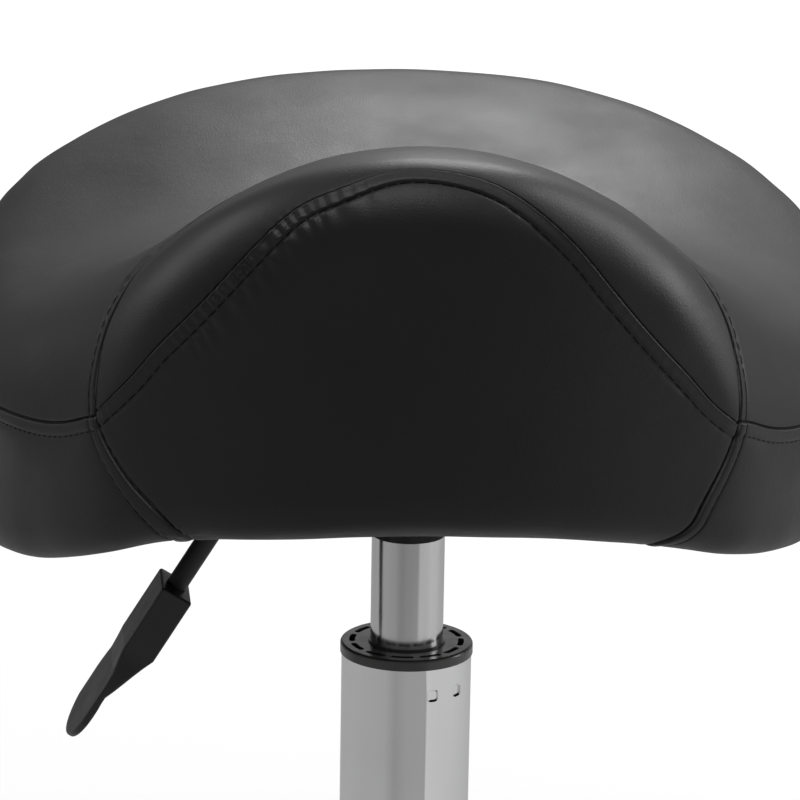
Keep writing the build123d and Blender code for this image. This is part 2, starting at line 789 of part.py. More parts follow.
with BuildPart() as grip_ring:
    ring(
        stem_radius - stem_groove_depth + seating_clearance,
        stem_radius,
        groove_bottom + seating_clearance,
        groove_bottom + stem_groove_width - seating_clearance,
    )
    with BuildSketch(Plane.XY.offset(groove_bottom)):
        with Locations((stem_radius, 0)):
            Rectangle(stem_diameter / 2, 2.0)
    extrude(amount=stem_groove_width, mode=Mode.SUBTRACT)

with BuildPart() as hood:
    with BuildSketch(axle_plane):
        Circle(hood_radius)
    extrude(amount=wheel_outer_y, both=True)
    with BuildSketch(Plane.XY.offset(wheel_radius)):
        with Locations((caster_trail, 0)):
            Rectangle(3 * hood_radius, 3 * wheel_outer_y)
    extrude(amount=-2 * hood_radius, mode=Mode.SUBTRACT)
    with BuildSketch(Plane.XY.offset(wheel_radius)):
        Circle(hood_boss_diameter / 2)
    extrude(amount=boss_top - wheel_radius)
    with BuildSketch(axle_plane.offset(half_web)):
        Circle(wheel_clear_radius)
    extrude(amount=2 * wheel_width, mode=Mode.SUBTRACT)
    with BuildSketch(axle_plane.offset(-half_web)):
        Circle(wheel_clear_radius)
    extrude(amount=-2 * wheel_width, mode=Mode.SUBTRACT)
    with BuildSketch(axle_plane):
        Circle(2 * axle_diameter)
    extrude(amount=half_web, both=True)
    with BuildSketch(axle_plane):
        Circle(axle_radius + seating_clearance)
    extrude(amount=hood_web_thickness, both=True, mode=Mode.SUBTRACT)
    with BuildSketch(Plane.XY.offset(boss_top)):
        Circle(stem_radius + running_clearance)
    extrude(amount=-stem_lower_length - 0.5, mode=Mode.SUBTRACT)

axle_length = 2 * (wheel_outer_y - wheel_cap_thickness - side_clearance)
with BuildPart() as axle:
    with BuildSketch(axle_plane.offset(-axle_length / 2)):
        Circle(axle_radius)
    extrude(amount=axle_length)

wheel_bore_radius = axle_radius + running_clearance
wheel_plane = Plane(
    origin=(caster_trail, -wheel_inner_y, wheel_radius), x_dir=(0, 0, 1), z_dir=(1, 0, 0)
)
with BuildPart() as wheel:
    # the outline's first coordinate is the radius, its second the distance out from the caster's web
    with BuildSketch(wheel_plane):
        with BuildLine():
            Polyline(
                (0, wheel_width),
                (0, wheel_width - wheel_cap_thickness),
                (wheel_bore_radius, wheel_width - wheel_cap_thickness),
                (wheel_bore_radius, 0),
                (wheel_hub_radius, 0),
                (wheel_hub_radius, wheel_width - wheel_web_thickness),
                (wheel_radius - wheel_rim_thickness, wheel_width - wheel_web_thickness),
                (wheel_radius - wheel_rim_thickness, 0),
                (wheel_radius - 1, 0),
                (wheel_radius, 1),
                (wheel_radius, wheel_width - 4),
            )
            ThreePointArc(
                (wheel_radius, wheel_width - 4),
                (wheel_radius - 1.4, wheel_width - 1.6),
                (wheel_radius - 4, wheel_width - 0.8),
            )
            Line((wheel_radius - 4, wheel_width - 0.8), (0, wheel_width))
        make_face()
    revolve(axis=Axis((caster_trail, -wheel_inner_y, wheel_radius), (0, 1, 0)))

other_wheel = mirror(wheel.part, about=Plane.XZ)

with BuildPart() as caster_stems:
    for number, place in caster_places():
        add(caster_stem.part.moved(place))
finish(caster_stems.part, "caster_stems")

with BuildPart() as stem_grip_rings:
    for number, place in caster_places():
        add(grip_ring.part.moved(place))
finish(stem_grip_rings.part, "stem_grip_rings")

for number, place in caster_places():
    for piece, name in ((hood.part, "hood"), (axle.part, "axle"), (wheel.part, "wheel_a"), (other_wheel, "wheel_b")):
        finish(piece.moved(place), f"caster_{number}_{name}")

# ---- Seat --------------------------------------------------------------------------------------------------

slab_half_width = seat_half_width + slab_margin
side_reach = seat_half_width - seat_corner_x
side_radius = (side_reach**2 + (seat_widest_y - seat_corner_y) ** 2) / (2 * side_reach)
waist_half_width = seat_half_width - side_radius + sqrt(side_radius**2 - (seat_widest_y - waist_y) ** 2)
SADDLE = (
    (seat_front_y - slab_margin, seat_corner_x, front_saddle),
    (pommel_y, seat_corner_x, pommel_saddle),
    (waist_y, waist_half_width, waist_saddle),
    (dip_y, seat_half_width, dip_saddle),
    (rear_y, seat_half_width, rear_saddle),
    (seat_rear_y + slab_margin, seat_half_width, cantle_saddle),
)


def seat_outline(inset):
    """The seat seen from above, drawn in by an inset: a bowed front, flaring sides and a round rear."""
    width = seat_half_width - inset
    corner = (seat_corner_x - inset, seat_corner_y + inset)
    with BuildSketch(Plane.XY) as outline:
        with BuildLine():
            ThreePointArc((-corner[0], corner[1]), (0, seat_front_y + inset), corner)
            TangentArc((width, seat_widest_y), corner, tangent=(0, -1))
            TangentArc((-width, seat_widest_y), (-corner[0], corner[1]), tangent=(0, -1))
            EllipticalCenterArc(
                (0, seat_widest_y), width, seat_rear_y - inset - seat_widest_y, start_angle=0, arc_size=180
            )
        make_face()
        fillet(outline.vertices().filter_by(lambda vertex: vertex.Y < seat_front_y / 2), seat_corner_radius - inset)
    return outline.sketch


def saddle_section(y, half_width, heights, inset):
    """The saddle's section across the seat: a crowned middle, flanks that fall from it, closed far below."""
    centre, shoulder, edge = (height - inset for height in heights)
    side = half_width + slab_margin
    bottom = rim_arc_end[1] - 60
    with BuildSketch(Plane(origin=(0, y, board_bottom), x_dir=(1, 0, 0), z_dir=(0, -1, 0))) as section:
        with BuildLine():
            crown = ThreePointArc((-shoulder_x, shoulder), (0, centre), (shoulder_x, shoulder))
            TangentArc((shoulder_x, shoulder), (side, edge), tangent=crown % 1)
            TangentArc((-shoulder_x, shoulder), (-side, edge), tangent=-(crown % 0))
            Polyline((side, edge), (side, bottom), (-side, bottom), (-side, edge))
        make_face()
    return section.sketch


def along_seat(points_sketch, mode):
    """Draw a section in the XZ plane out along the whole seat."""
    extrude(points_sketch, amount=2 * seat_rear_y, both=True, mode=mode)


def rim_section(inset):
    """What is cut from under the seat: flat in the middle, arched down to the wings."""
    flat = rim_centre + inset
    middle = (rim_arc_middle[0], rim_arc_middle[1] + inset)
    end = (rim_arc_end[0], rim_arc_end[1] + inset)
    wing = (slab_half_width, end[1] + rim_wing_rise)
    deep = end[1] - 100
    with BuildSketch(Plane(origin=(0, 0, board_bottom), x_dir=(1, 0, 0), z_dir=(0, -1, 0))) as section:
        with BuildLine():
            Line((-rim_flat_half_width, flat), (rim_flat_half_width, flat))
            ThreePointArc((rim_flat_half_width, flat), middle, end)
            Polyline(end, wing, (slab_half_width, deep), (-slab_half_width, deep), (-wing[0], wing[1]), (-end[0], end[1]))
            ThreePointArc((-end[0], end[1]), (-middle[0], middle[1]), (-rim_flat_half_width, flat))
        make_face()
    return section.sketch


def seat_block(inset):
    """The whole cushion, drawn in by an inset: the saddle's slab cut to the outline and arched beneath."""
    lowest = board_bottom + rim_arc_end[1] - 50
    with BuildPart() as block:
        loft([saddle_section(y, half_width, heights, inset) for y, half_width, heights in SADDLE])
        extrude(seat_outline(inset).moved(Location((0, 0, lowest))), amount=400, mode=Mode.INTERSECT)
        along_seat(rim_section(inset), Mode.SUBTRACT)
        across = block.edges().filter_by(lambda edge: edge.bounding_box().size.X > 1)
        upper = across.filter_by(lambda edge: edge.bounding_box().min.Z > board_bottom + rim_centre + inset + 1)
        fillet(upper, seat_top_edge_radius - inset)
        across = block.edges().filter_by(lambda edge: edge.bounding_box().size.X > 1)
        lower = across.filter_by(lambda edge: edge.bounding_box().max.Z < board_bottom + rim_centre + inset + 1)
        fillet(lower, seat_bottom_edge_radius - inset)
    return block.part




def board_layer(low, high):
    """The moulded board's section between two heights: flat over the plate, one arc down to each wing."""
    with BuildSketch(Plane(origin=(0, 0, board_bottom), x_dir=(1, 0, 0), z_dir=(0, -1, 0))) as layer:
        with BuildLine():
            for rise in (low, high):
                Line((-board_flat_half_width, rise), (board_flat_half_width, rise))
                TangentArc((board_flat_half_width, rise), (seat_half_width, rise - board_wing_drop), tangent=(1, 0))
                TangentArc((-board_flat_half_width, rise), (-seat_half_width, rise - board_wing_drop), tangent=(-1, 0))
            for side in (-seat_half_width, seat_half_width):
                Line((side, low - board_wing_drop), (side, high - board_wing_drop))
        make_face()
    return layer.sketch


def board_sheet(low, high, inset):
    """A sheet that follows the board between two heights, cut to the seat's outline drawn in by an inset."""
    with BuildPart() as sheet:
        along_seat(board_layer(low, high), Mode.ADD)
        cutter = seat_outline(inset).moved(Location((0, 0, board_bottom - 2 * seat_half_width)))
        extrude(cutter, amount=4 * seat_half_width, mode=Mode.INTERSECT)
    return sheet.part


# The pocket under the foam holds the board: it reaches up to the board's top and is open below.
pocket = board_sheet(
    2 * (rim_arc_end[1] + rim_wing_rise), board_thickness + soft_clearance, board_inset - board_pocket_clearance
)
outer_block = seat_block(0)
inner_block = seat_block(cover_thickness)
foam_block = seat_block(cover_thickness + soft_clearance)

# The seam between the top and the side band: a thin sheet along the seat, all but the seam's depth taken out.
with BuildPart() as side_groove:
    with BuildSketch(Plane.YZ) as seam_band:
        with BuildLine():
            for rise in (-seam_width / 2, seam_width / 2):
                heights = [(y, board_bottom + height + rise) for y, height in side_seam]
                ThreePointArc(heights[0], heights[1], heights[2])
                ThreePointArc(heights[2], heights[3], heights[4])
            for y, height in (side_seam[0], side_seam[-1]):
                Line((y, board_bottom + height - seam_width / 2), (y, board_bottom + height + seam_width / 2))
        make_face()
    extrude(amount=2 * seat_half_width, both=True)
    inside = seat_outline(seam_depth).moved(Location((0, 0, board_bottom - seat_half_width)))
    extrude(inside, amount=2 * seat_half_width, mode=Mode.SUBTRACT)

# The seam round the front panel's top: the same, bent to the pommel's arch.
with BuildPart() as front_groove:
    with BuildSketch(Plane(origin=(0, 0, board_bottom), x_dir=(1, 0, 0), z_dir=(0, -1, 0))) as arch_band:
        with BuildLine():
            for rise in (-seam_width / 2, seam_width / 2):
                top, shoulder, corner = ((x, height + rise) for x, height in front_seam)
                crown = ThreePointArc((-shoulder[0], shoulder[1]), top, shoulder)
                TangentArc(shoulder, corner, tangent=crown % 1)
                TangentArc((-shoulder[0], shoulder[1]), (-corner[0], corner[1]), tangent=-(crown % 0))
            for side in (-1, 1):
                x, height = side * front_seam[2][0], front_seam[2][1]
                Line((x, height - seam_width / 2), (x, height + seam_width / 2))
        make_face()
    extrude(amount=-2 * seat_front_y)
    inside = seat_outline(seam_depth).moved(Location((0, 0, board_bottom - seat_half_width)))
    extrude(inside, amount=2 * seat_half_width, mode=Mode.SUBTRACT)

with BuildPart() as seat_cover:
    add(outer_block)
    add(side_groove.part, mode=Mode.SUBTRACT)
    add(front_groove.part, mode=Mode.SUBTRACT)
    add(inner_block, mode=Mode.SUBTRACT)
    add(pocket, mode=Mode.SUBTRACT)
finish(seat_cover.part, "seat_cover")

with BuildPart() as seat_foam:
    add(foam_block)
    add(pocket, mode=Mode.SUBTRACT)
finish(seat_foam.part, "seat_foam")

tee_nut_radius = tee_nut_barrel_diameter / 2
tee_nut_flange_bottom = board_top - tee_nut_flange_thickness
with BuildPart() as seat_board:
    add(board_sheet(0, board_thickness, board_inset))
    with BuildSketch(Plane.XY.offset(board_bottom)):
        with GridLocations(bolt_spacing_x, bolt_spacing_y, 2, 2):
            Circle(tee_nut_radius + tee_nut_gap)
    extrude(amount=board_thickness, mode=Mode.SUBTRACT)
    with BuildSketch(Plane.XY.offset(tee_nut_flange_bottom)):
        with GridLocations(bolt_spacing_x, bolt_spacing_y, 2, 2):
            Circle(tee_nut_flange_diameter / 2 + tee_nut_gap)
    extrude(amount=tee_nut_flange_thickness, mode=Mode.SUBTRACT)
finish(seat_board.part, "seat_board")

with BuildPart() as tee_nuts:
    with BuildSketch(Plane.XY.offset(board_top - tee_nut_length)):
        with GridLocations(bolt_spacing_x, bolt_spacing_y, 2, 2):
            Circle(tee_nut_radius)
    extrude(amount=tee_nut_length)
    with BuildSketch(Plane.XY.offset(tee_nut_flange_bottom)):
        with GridLocations(bolt_spacing_x, bolt_spacing_y, 2, 2):
            Circle(tee_nut_flange_diameter / 2)
    extrude(amount=tee_nut_flange_thickness)
    with BuildSketch(Plane.XY.offset(board_top - tee_nut_length)):
        with GridLocations(bolt_spacing_x, bolt_spacing_y, 2, 2):
            Circle(bolt_radius + seating_clearance)
    extrude(amount=tee_nut_length, mode=Mode.SUBTRACT)
finish(tee_nuts.part, "tee_nuts")

with BuildPart() as dust_cover:
    add(board_sheet(-dust_cover_thickness, 0, board_inset + dust_cover_margin))
    with BuildSketch(Plane.XY.offset(board_bottom - 2 * dust_cover_thickness)):
        Rectangle(plate_length + 2 * dust_cover_margin, plate_width + 2 * dust_cover_margin)
    extrude(amount=3 * dust_cover_thickness, mode=Mode.SUBTRACT)
finish(dust_cover.part, "dust_cover")
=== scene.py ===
import json
import math
import bmesh
import bpy
import numpy as np
from mathutils import Matrix, Vector, kdtree, noise


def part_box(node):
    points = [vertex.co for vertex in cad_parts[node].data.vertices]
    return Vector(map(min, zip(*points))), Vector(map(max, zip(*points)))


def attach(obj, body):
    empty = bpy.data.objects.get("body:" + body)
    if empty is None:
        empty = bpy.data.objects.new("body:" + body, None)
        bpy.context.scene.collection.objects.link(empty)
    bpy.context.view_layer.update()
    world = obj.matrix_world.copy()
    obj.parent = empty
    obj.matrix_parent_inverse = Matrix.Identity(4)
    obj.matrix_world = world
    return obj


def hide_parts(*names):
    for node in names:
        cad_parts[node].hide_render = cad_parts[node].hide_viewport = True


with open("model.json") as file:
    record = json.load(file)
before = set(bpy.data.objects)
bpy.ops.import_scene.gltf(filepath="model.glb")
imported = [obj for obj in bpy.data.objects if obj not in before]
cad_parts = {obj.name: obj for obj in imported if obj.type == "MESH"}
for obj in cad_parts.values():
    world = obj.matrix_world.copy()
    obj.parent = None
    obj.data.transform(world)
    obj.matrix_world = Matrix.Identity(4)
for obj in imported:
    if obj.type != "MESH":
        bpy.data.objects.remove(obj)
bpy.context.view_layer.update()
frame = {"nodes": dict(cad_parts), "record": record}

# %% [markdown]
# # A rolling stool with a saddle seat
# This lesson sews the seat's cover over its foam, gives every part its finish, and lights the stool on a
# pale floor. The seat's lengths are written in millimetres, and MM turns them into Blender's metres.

MM = 0.001
BOARD_THICKNESS = 10.0
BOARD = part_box("seat_board")[1].z / MM - BOARD_THICKNESS      # its underside, where the seat's heights start
print("frame:", len(frame["nodes"]), "nodes, board underside at", round(BOARD, 2), "mm")

# %% [markdown]
# ## The camera
# A long lens from a little above seat height keeps the seat's outline nearly free of perspective. The
# camera looks down by 14.5 degrees and leans by almost one degree, so it is built from three directions
# instead of being aimed with a constraint: where it looks, what is to its right and what is above.

# %% Place the camera
CAMERA_PLACE = (-0.0431, -1.2422, 0.7596)
lean, turn, roll = (math.radians(a) for a in (14.5, -1.8, 0.95))
backwards = Vector((math.sin(turn) * math.cos(lean), -math.cos(turn) * math.cos(lean), math.sin(lean)))
sideways = Vector((math.cos(turn), math.sin(turn), 0.0))
upwards = sideways.cross(-backwards)
right = sideways * math.cos(roll) + upwards * math.sin(roll)
above = upwards * math.cos(roll) - sideways * math.sin(roll)
camera = bpy.data.objects.new("camera", bpy.data.cameras.new("camera"))
camera.data.lens, camera.data.sensor_width = 153.0, 36.0
bpy.context.collection.objects.link(camera)
camera.matrix_world = (Matrix.Translation(CAMERA_PLACE)
                       @ Matrix((right, above, backwards)).transposed().to_4x4())
bpy.context.scene.camera = camera
print("camera", round(camera.location.length, 3), "m from the floor's centre")

# %% [markdown]
# ## The seat's form
# A saddle seat is a block of moulded foam: high at the pommel in front, low at the waist where the sitter's
# weight rests, and rising again to the broad cantle behind. It could be sculpted, but a form that is
# written as a function is easier to sew on: at any point it says how deep that point lies inside the foam.
# The top is a spline through six cross sections, each a crown that runs into a flank. The wall follows the
# seat's outline, and the rim's underside drops towards both sides.

# %% A smooth curve through given values
def spline(xs, ys):
    """A natural cubic curve; ys may have several columns."""
    xs, ys = np.asarray(xs, float), np.asarray(ys, float)
    n, h = len(xs), np.diff(xs)
    A, rhs = np.eye(n), np.zeros_like(ys)
    for i in range(1, n - 1):
        A[i, i - 1:i + 2] = h[i - 1], 2 * (h[i - 1] + h[i]), h[i]
        rhs[i] = 6 * ((ys[i + 1] - ys[i]) / h[i] - (ys[i] - ys[i - 1]) / h[i - 1])
    m = np.linalg.solve(A, rhs)

    def at(x):
        x = np.asarray(x, float)
        i = np.clip(np.searchsorted(xs, x) - 1, 0, n - 2)
        a, b, w = (xs[i + 1] - x) / h[i], (x - xs[i]) / h[i], h[i]
        if ys.ndim > 1:
            a, b, w = a[..., None], b[..., None], w[..., None]
        return a * ys[i] + b * ys[i + 1] + ((a**3 - a) * m[i] + (b**3 - b) * m[i + 1]) * w**2 / 6
    return at


# %% The seat's top
HALF_WIDTH, FRONT_HALF = 176.0, 111.0        # half the seat's width, at its widest and at its front corners
SHOULDER = 60.0                              # from the middle to where the crown turns into the flank
OVERHANG = 14.0                              # the flank's arc ends this far outside the wall
SECTIONS = np.array([                        # y, heights at centre, shoulder and edge, and half the width
    (-164, 110.0, 95.0, 10.0, FRONT_HALF), (-112, 117.0, 101.5, 18.0, FRONT_HALF),
    (-40, 84.0, 77.0, 15.0, 157.0), (45, 64.0, 62.0, 33.0, HALF_WIDTH),
    (120, 85.0, 83.5, 56.0, HALF_WIDTH), (204, 102.5, 101.0, 68.0, HALF_WIDTH)])
section_at = spline(SECTIONS[:, 0], SECTIONS[:, 1:])


def stuffing(x, y):
    """Stuffed by hand, the foam leans a little to one side and is fuller in places towards the cantle."""
    lean = -0.0075 * x - 0.00006 * x**2
    cantle = np.clip((y - 90) / 60, 0, 1) * (0.7 * np.exp(-((x - 58) / 34)**2) + 0.5 * (x / 150)**4)
    left_end = 1.6 * np.clip((-x - 105) / 45, 0, 1)**2 * np.clip((y + 20) / 60, 0, 1)
    return lean + cantle + left_end


def top_height(x, y):
    """Across the seat: an arc over the crown, then an arc down the flank that starts in its direction."""
    centre, shoulder, edge, half = np.moveaxis(section_at(y), -1, 0)
    out = np.abs(x)
    R = (SHOULDER**2 + (centre - shoulder)**2) / (2 * np.maximum(centre - shoulder, 0.2))
    crown = centre - R + np.sqrt(np.maximum(R**2 - out**2, 1.0))
    slope = -SHOULDER / np.sqrt(R**2 - SHOULDER**2)
    length = np.sqrt(1 + slope * slope)
    nx, nz = -slope / length, 1 / length
    dx, dz = half + OVERHANG - SHOULDER, edge - shoulder
    r = (dx * dx + dz * dz) / (2 * (dx * nx + dz * nz))
    xc, zc = SHOULDER + r * nx, shoulder + r * nz
    flank = zc - np.sign(r) * np.sqrt(np.maximum(r * r - (out - xc)**2, 0.01 * r * r))
    return np.where(out < SHOULDER, crown, flank) + stuffing(x, y)


print("top at the pommel, waist and cantle:",
      [float(top_height(0.0, y).round(1)) for y in (-112.0, 45.0, 160.0)])

# %% The seat's outline, seen from above
CENTRE = np.array([0.0, 20.0])
WIDEST, CORNER = 60.0, -114.0                # y where the seat is widest, and at its front corners
FOREMOST, REARMOST = -150.0, 190.0           # y of the pommel's front and the cantle's back


def arc_through(p, q, r, count):
    """Points on the circle through three places, from the first to the last."""
    (ax, ay), (bx, by), (cx, cy) = p, q, r
    d = 2 * (ax * (by - cy) + bx * (cy - ay) + cx * (ay - by))
    a2, b2, c2 = ax * ax + ay * ay, bx * bx + by * by, cx * cx + cy * cy
    ux = (a2 * (by - cy) + b2 * (cy - ay) + c2 * (ay - by)) / d
    uy = (a2 * (cx - bx) + b2 * (ax - cx) + c2 * (bx - ax)) / d
    start, end = np.arctan2(ay - uy, ax - ux), np.arctan2(cy - uy, cx - ux)
    radius = np.hypot(ax - ux, ay - uy)
    angles = np.linspace(start, start + (end - start) % (2 * np.pi), count)
    return np.c_[ux + radius * np.cos(angles), uy + radius * np.sin(angles)]


def outline():
    """Front arc, a side arc, half an ellipse behind, and the other side arc."""
    bulge, run = HALF_WIDTH - FRONT_HALF, WIDEST - CORNER
    R = (bulge**2 + run**2) / (2 * bulge)
    sweep = np.linspace(np.arcsin(run / R), 0, 120)
    side = np.c_[HALF_WIDTH - R + R * np.cos(sweep), WIDEST - R * np.sin(sweep)]
    sweep = np.linspace(0, np.pi, 200)
    rear = np.c_[HALF_WIDTH * np.cos(sweep), WIDEST + (REARMOST - WIDEST) * np.sin(sweep)]
    front = arc_through((-FRONT_HALF, CORNER), (0, FOREMOST), (FRONT_HALF, CORNER), 120)
    return np.vstack([front, side[1:], rear[1:], side[::-1][1:] * [-1, 1]])


ANGLES = np.linspace(0, 2 * np.pi, 1441)[:-1]
ROUNDING, REACH = 11.0, 40                   # how wide the front corners' rounding is, in steps of ANGLES


def radius_by_angle():
    """The outline's distance from the centre, with the two front corners rounded by a running mean."""
    away = outline() - CENTRE
    angle = np.arctan2(away[:, 1], away[:, 0]) % (2 * np.pi)
    order = np.argsort(angle)
    sharp = np.interp(ANGLES, angle[order], np.hypot(*away[order].T), period=2 * np.pi)
    weights = np.exp(-0.5 * (np.arange(-REACH, REACH + 1) / ROUNDING)**2)
    return np.convolve(np.r_[sharp[-REACH:], sharp, sharp[:REACH]], weights / weights.sum(), "valid")


soft_radius = radius_by_angle()
soft_slope = (np.roll(soft_radius, -1) - np.roll(soft_radius, 1)) / (2 * ANGLES[1])


def at_angle(table, angle):
    """A value from one of the two tables, between its steps."""
    place = (np.asarray(angle) % (2 * np.pi)) / ANGLES[1]
    i = place.astype(int) % len(ANGLES)
    f = place - place.astype(int)
    return table[i] * (1 - f) + table[(i + 1) % len(ANGLES)] * f


def inset_of(x, y):
    """How far inside the outline a point lies."""
    dx, dy = x - CENTRE[0], y - CENTRE[1]
    angle = np.arctan2(dy, dx)
    edge, slope = at_angle(soft_radius, angle), at_angle(soft_slope, angle)
    return (edge - np.hypot(dx, dy)) * edge / np.sqrt(edge**2 + slope**2)


print("outline", round(float(soft_radius.min())), "to", round(float(soft_radius.max())), "mm from its centre")

# %% The whole form
TOP_ROUND, RIM_ROUND = 17.0, 16.0            # the roundings above the wall and below it
rim_height = spline([-190, -140, -85, -58, -30, 30, 60, 85, 140, 190],
                    [-58.5, -47.6, -21.5, -17.6, -14.6, -13.9, -17.2, -22.5, -40.2, -42.0])


def rounded(a, b, radius):
    """Where two depths meet at an edge, the smaller of them, with the edge rounded."""
    u, v = np.maximum(radius - a, 0), np.maximum(radius - b, 0)
    return np.maximum(np.minimum(a, b), radius) - np.sqrt(u * u + v * v)


def depth(P):
    """Positive inside the seat, and about the distance from its surface."""
    x, y, h = P[..., 0], P[..., 1], P[..., 2]
    slope_x = (top_height(x + 1, y) - top_height(x - 1, y)) / 2
    slope_y = (top_height(x, y + 1) - top_height(x, y - 1)) / 2
    top = (top_height(x, y) - h) / np.sqrt(1 + slope_x**2 + slope_y**2)
    rim_slope = (rim_height(x + 1) - rim_height(x - 1)) / 2
    rim = (h - rim_height(x)) / np.sqrt(1 + rim_slope**2)
    return rounded(rounded(top, inset_of(x, y), TOP_ROUND), rim, RIM_ROUND)


def unit(v):
    return v / np.linalg.norm(v, axis=-1, keepdims=True)


def outwards(P):
    """The direction away from the foam."""
    step = 0.4 * np.eye(3)
    return -unit(np.stack([depth(P + s) - depth(P - s) for s in step], -1))


def cast(origin, direction, reach=330.0):
    """Where rays from inside the seat leave it."""
    near, far = np.zeros(direction.shape[:-1]), np.full(direction.shape[:-1], reach)
    for _ in range(30):
        middle = (near + far) / 2
        inside = depth(origin + direction * middle[..., None]) > 0
        near, far = np.where(inside, middle, near), np.where(inside, far, middle)
    return origin + direction * ((near + far) / 2)[..., None]


print("depth under the waist's middle:", round(float(depth(np.array([0.0, 45.0, 30.0]))), 1), "mm")

# %% [markdown]
# ## The seams
# The cover is sewn from four panels: a front panel, a lens-shaped panel over the pommel's crest, the large
# top panel that is sat on, and a side band that goes round from one front corner to the other. The seams
# between them are lines on the form. A line could be drawn on the mesh afterwards, but then a groove would
# cut across its faces. Here the seams come first: each is a smooth fan of rays from a point inside the
# foam, and the panels' faces are laid between them.

# %% Seam lines from a few places that they pass
NOSE, HEART = np.array([0.0, -85.0, 25.0]), np.array([0.0, 25.0, 10.0])     # inside the pommel, and the seat


def lengths_along(line):
    """How far along a line each of its points lies."""
    return np.r_[0, np.cumsum(np.linalg.norm(np.diff(line, axis=0), axis=1))]


def along(line, fractions):
    """Places at the given fractions of a line's length."""
    s = lengths_along(line)
    return np.stack([np.interp(fractions, s / s[-1], line[:, k]) for k in range(3)], -1)


def seam_line(origin, places, count):
    """A smooth line on the form, by rays from the origin through the places."""
    places = np.asarray(places, float)
    s = lengths_along(places)
    return cast(origin, unit(spline(s, unit(places - origin))(np.linspace(0, s[-1], count))))


tip_left = cast(NOSE, unit(np.array([-112.2, -111.3, 23.1]) - NOSE))      # where four seams meet
tip_right = cast(NOSE, unit(np.array([109.4, -114.3, 21.5]) - NOSE))
front_seam = seam_line(NOSE, [
    tip_left, (-99.0, -122.0, 39.0), (-91.5, -126.5, 49.0), (-84.0, -130.0, 57.0), (-54.5, -140.5, 91.0),
    (-38.5, -141.0, 104.0), (-32.0, -141.5, 107.0), (-13.0, -140.0, 113.5), (7.5, -140.5, 113.5),
    (24.0, -142.0, 109.0), (37.5, -143.5, 100.5), (83.5, -130.5, 49.0), (91.0, -126.5, 40.5),
    (99.5, -122.0, 31.0), tip_right], 700)
crest_seam = seam_line(HEART, [
    tip_left, (-112.5, -109.0, 32.5), (-111.0, -107.5, 42.0), (-108.0, -106.0, 53.0),
    (-103.0, -105.0, 62.5), (-97.0, -103.5, 72.0), (-88.0, -103.0, 80.0), (-76.0, -101.0, 88.0),
    (-32.0, -80.0, 98.0), (0.0, -75.0, 99.0), (30.0, -80.0, 98.0), (54.0, -95.0, 96.5),
    (70.0, -105.0, 92.0), (79.5, -106.0, 87.0), (104.5, -108.5, 55.0), (107.5, -110.0, 45.5),
    (110.0, -112.0, 34.5), tip_right], 700)
corner_left = seam_line(NOSE, [
    tip_left, (-110.0, -113.5, 16.5), (-105.5, -117.5, 8.5), (-97.0, -123.5, -2.0), (-86.0, -127.5, -12.0),
    (-80.0, -124.0, -18.0), (-74.0, -116.0, -18.5)], 200)
corner_right = seam_line(NOSE, [
    tip_right, (108.0, -116.5, 14.5), (96.0, -123.5, -6.0), (89.5, -125.5, -15.0), (80.0, -123.5, -18.5),
    (73.0, -115.0, -18.5)], 200)

# %% The seam round the seat, above the side band
band_height = spline([-116, -110, -100, -91, -82, -74, -60, -35, 10, 50, 90, 125, 160, 200],
                     [22.9, 21.2, 17.0, 13.9, 11.9, 10.8, 9.7, 8.6, 8.0, 9.5, 14.5, 23.5, 37, 52])


def round_the_seat(first, last, count=1200):
    """Directions from one place to another, the long way round behind the seat."""
    first = np.arctan2(first[1] - CENTRE[1], first[0]) % (2 * np.pi)
    angle = np.linspace(first, np.arctan2(last[1] - CENTRE[1], last[0]), count)
    return angle, np.stack([np.cos(angle), np.sin(angle), 0 * angle], -1)


angle, flat = round_the_seat(tip_left, tip_right)
band_seam = 150 * flat + [*CENTRE, 0]
for _ in range(4):                           # the height follows y, which follows the height
    height = band_height(band_seam[:, 1])
    band_seam = cast(np.stack([CENTRE[0] + 0 * height, CENTRE[1] + 0 * height, height], -1), flat)
band_seam[0], band_seam[-1] = tip_left, tip_right

# %% The rim, where the cover turns under
angle, flat = round_the_seat(corner_left[-1], corner_right[-1])
rim_line = (at_angle(soft_radius, angle) - RIM_ROUND)[:, None] * flat + [*CENTRE, 0]
rim_line[:, 2] = rim_height(rim_line[:, 0])
FRONT_RIM, FRONT_RIM_BOW = -116.0, 20.0      # y of the front panel's lower line at its ends, and its bow
x = np.linspace(corner_left[-1, 0], corner_right[-1, 0], 400)
front_rim = np.stack([x, FRONT_RIM - FRONT_RIM_BOW * (1 - (x / 74)**2), rim_height(x)], -1)
print("seams in mm:", {name: round(float(lengths_along(line)[-1])) for name, line in (
    ("front", front_seam), ("crest", crest_seam), ("band", band_seam), ("corner", corner_left))})

# %% [markdown]
# ## The panels
# Each panel is a grid of columns and rows. Its rows crowd together beside a seam, where a fraction of a
# millimetre decides how the fold catches the light, and spread out in the open. Columns that meet at a seam
# share their points, so the finished cover is one closed skin.

# %% Lay a panel between two lines
AT_FOLD = np.array([0, 0.18, 0.36, 0.6, 0.95, 1.5, 2.2])
AT_STITCH = np.array([-1.7, -0.9, -0.5, -0.25, 0, 0.25, 0.5, 0.9, 1.5, 2.4, 3.6, 5.2])
IN_THE_OPEN = np.array([7.5, 10.5, 14, 18])


def beside_seam(flap, oblique):
    """Distances from a seam, close at fold and topstitch; oblique where columns leave the seam aslant."""
    if oblique:
        return np.r_[AT_FOLD[:6], np.arange(1.9, 9.0, 0.32), 11, 14.5]
    stitched = flap + AT_STITCH
    return np.r_[AT_FOLD, stitched[stitched > AT_FOLD[-1] + 0.4], flap + IN_THE_OPEN]


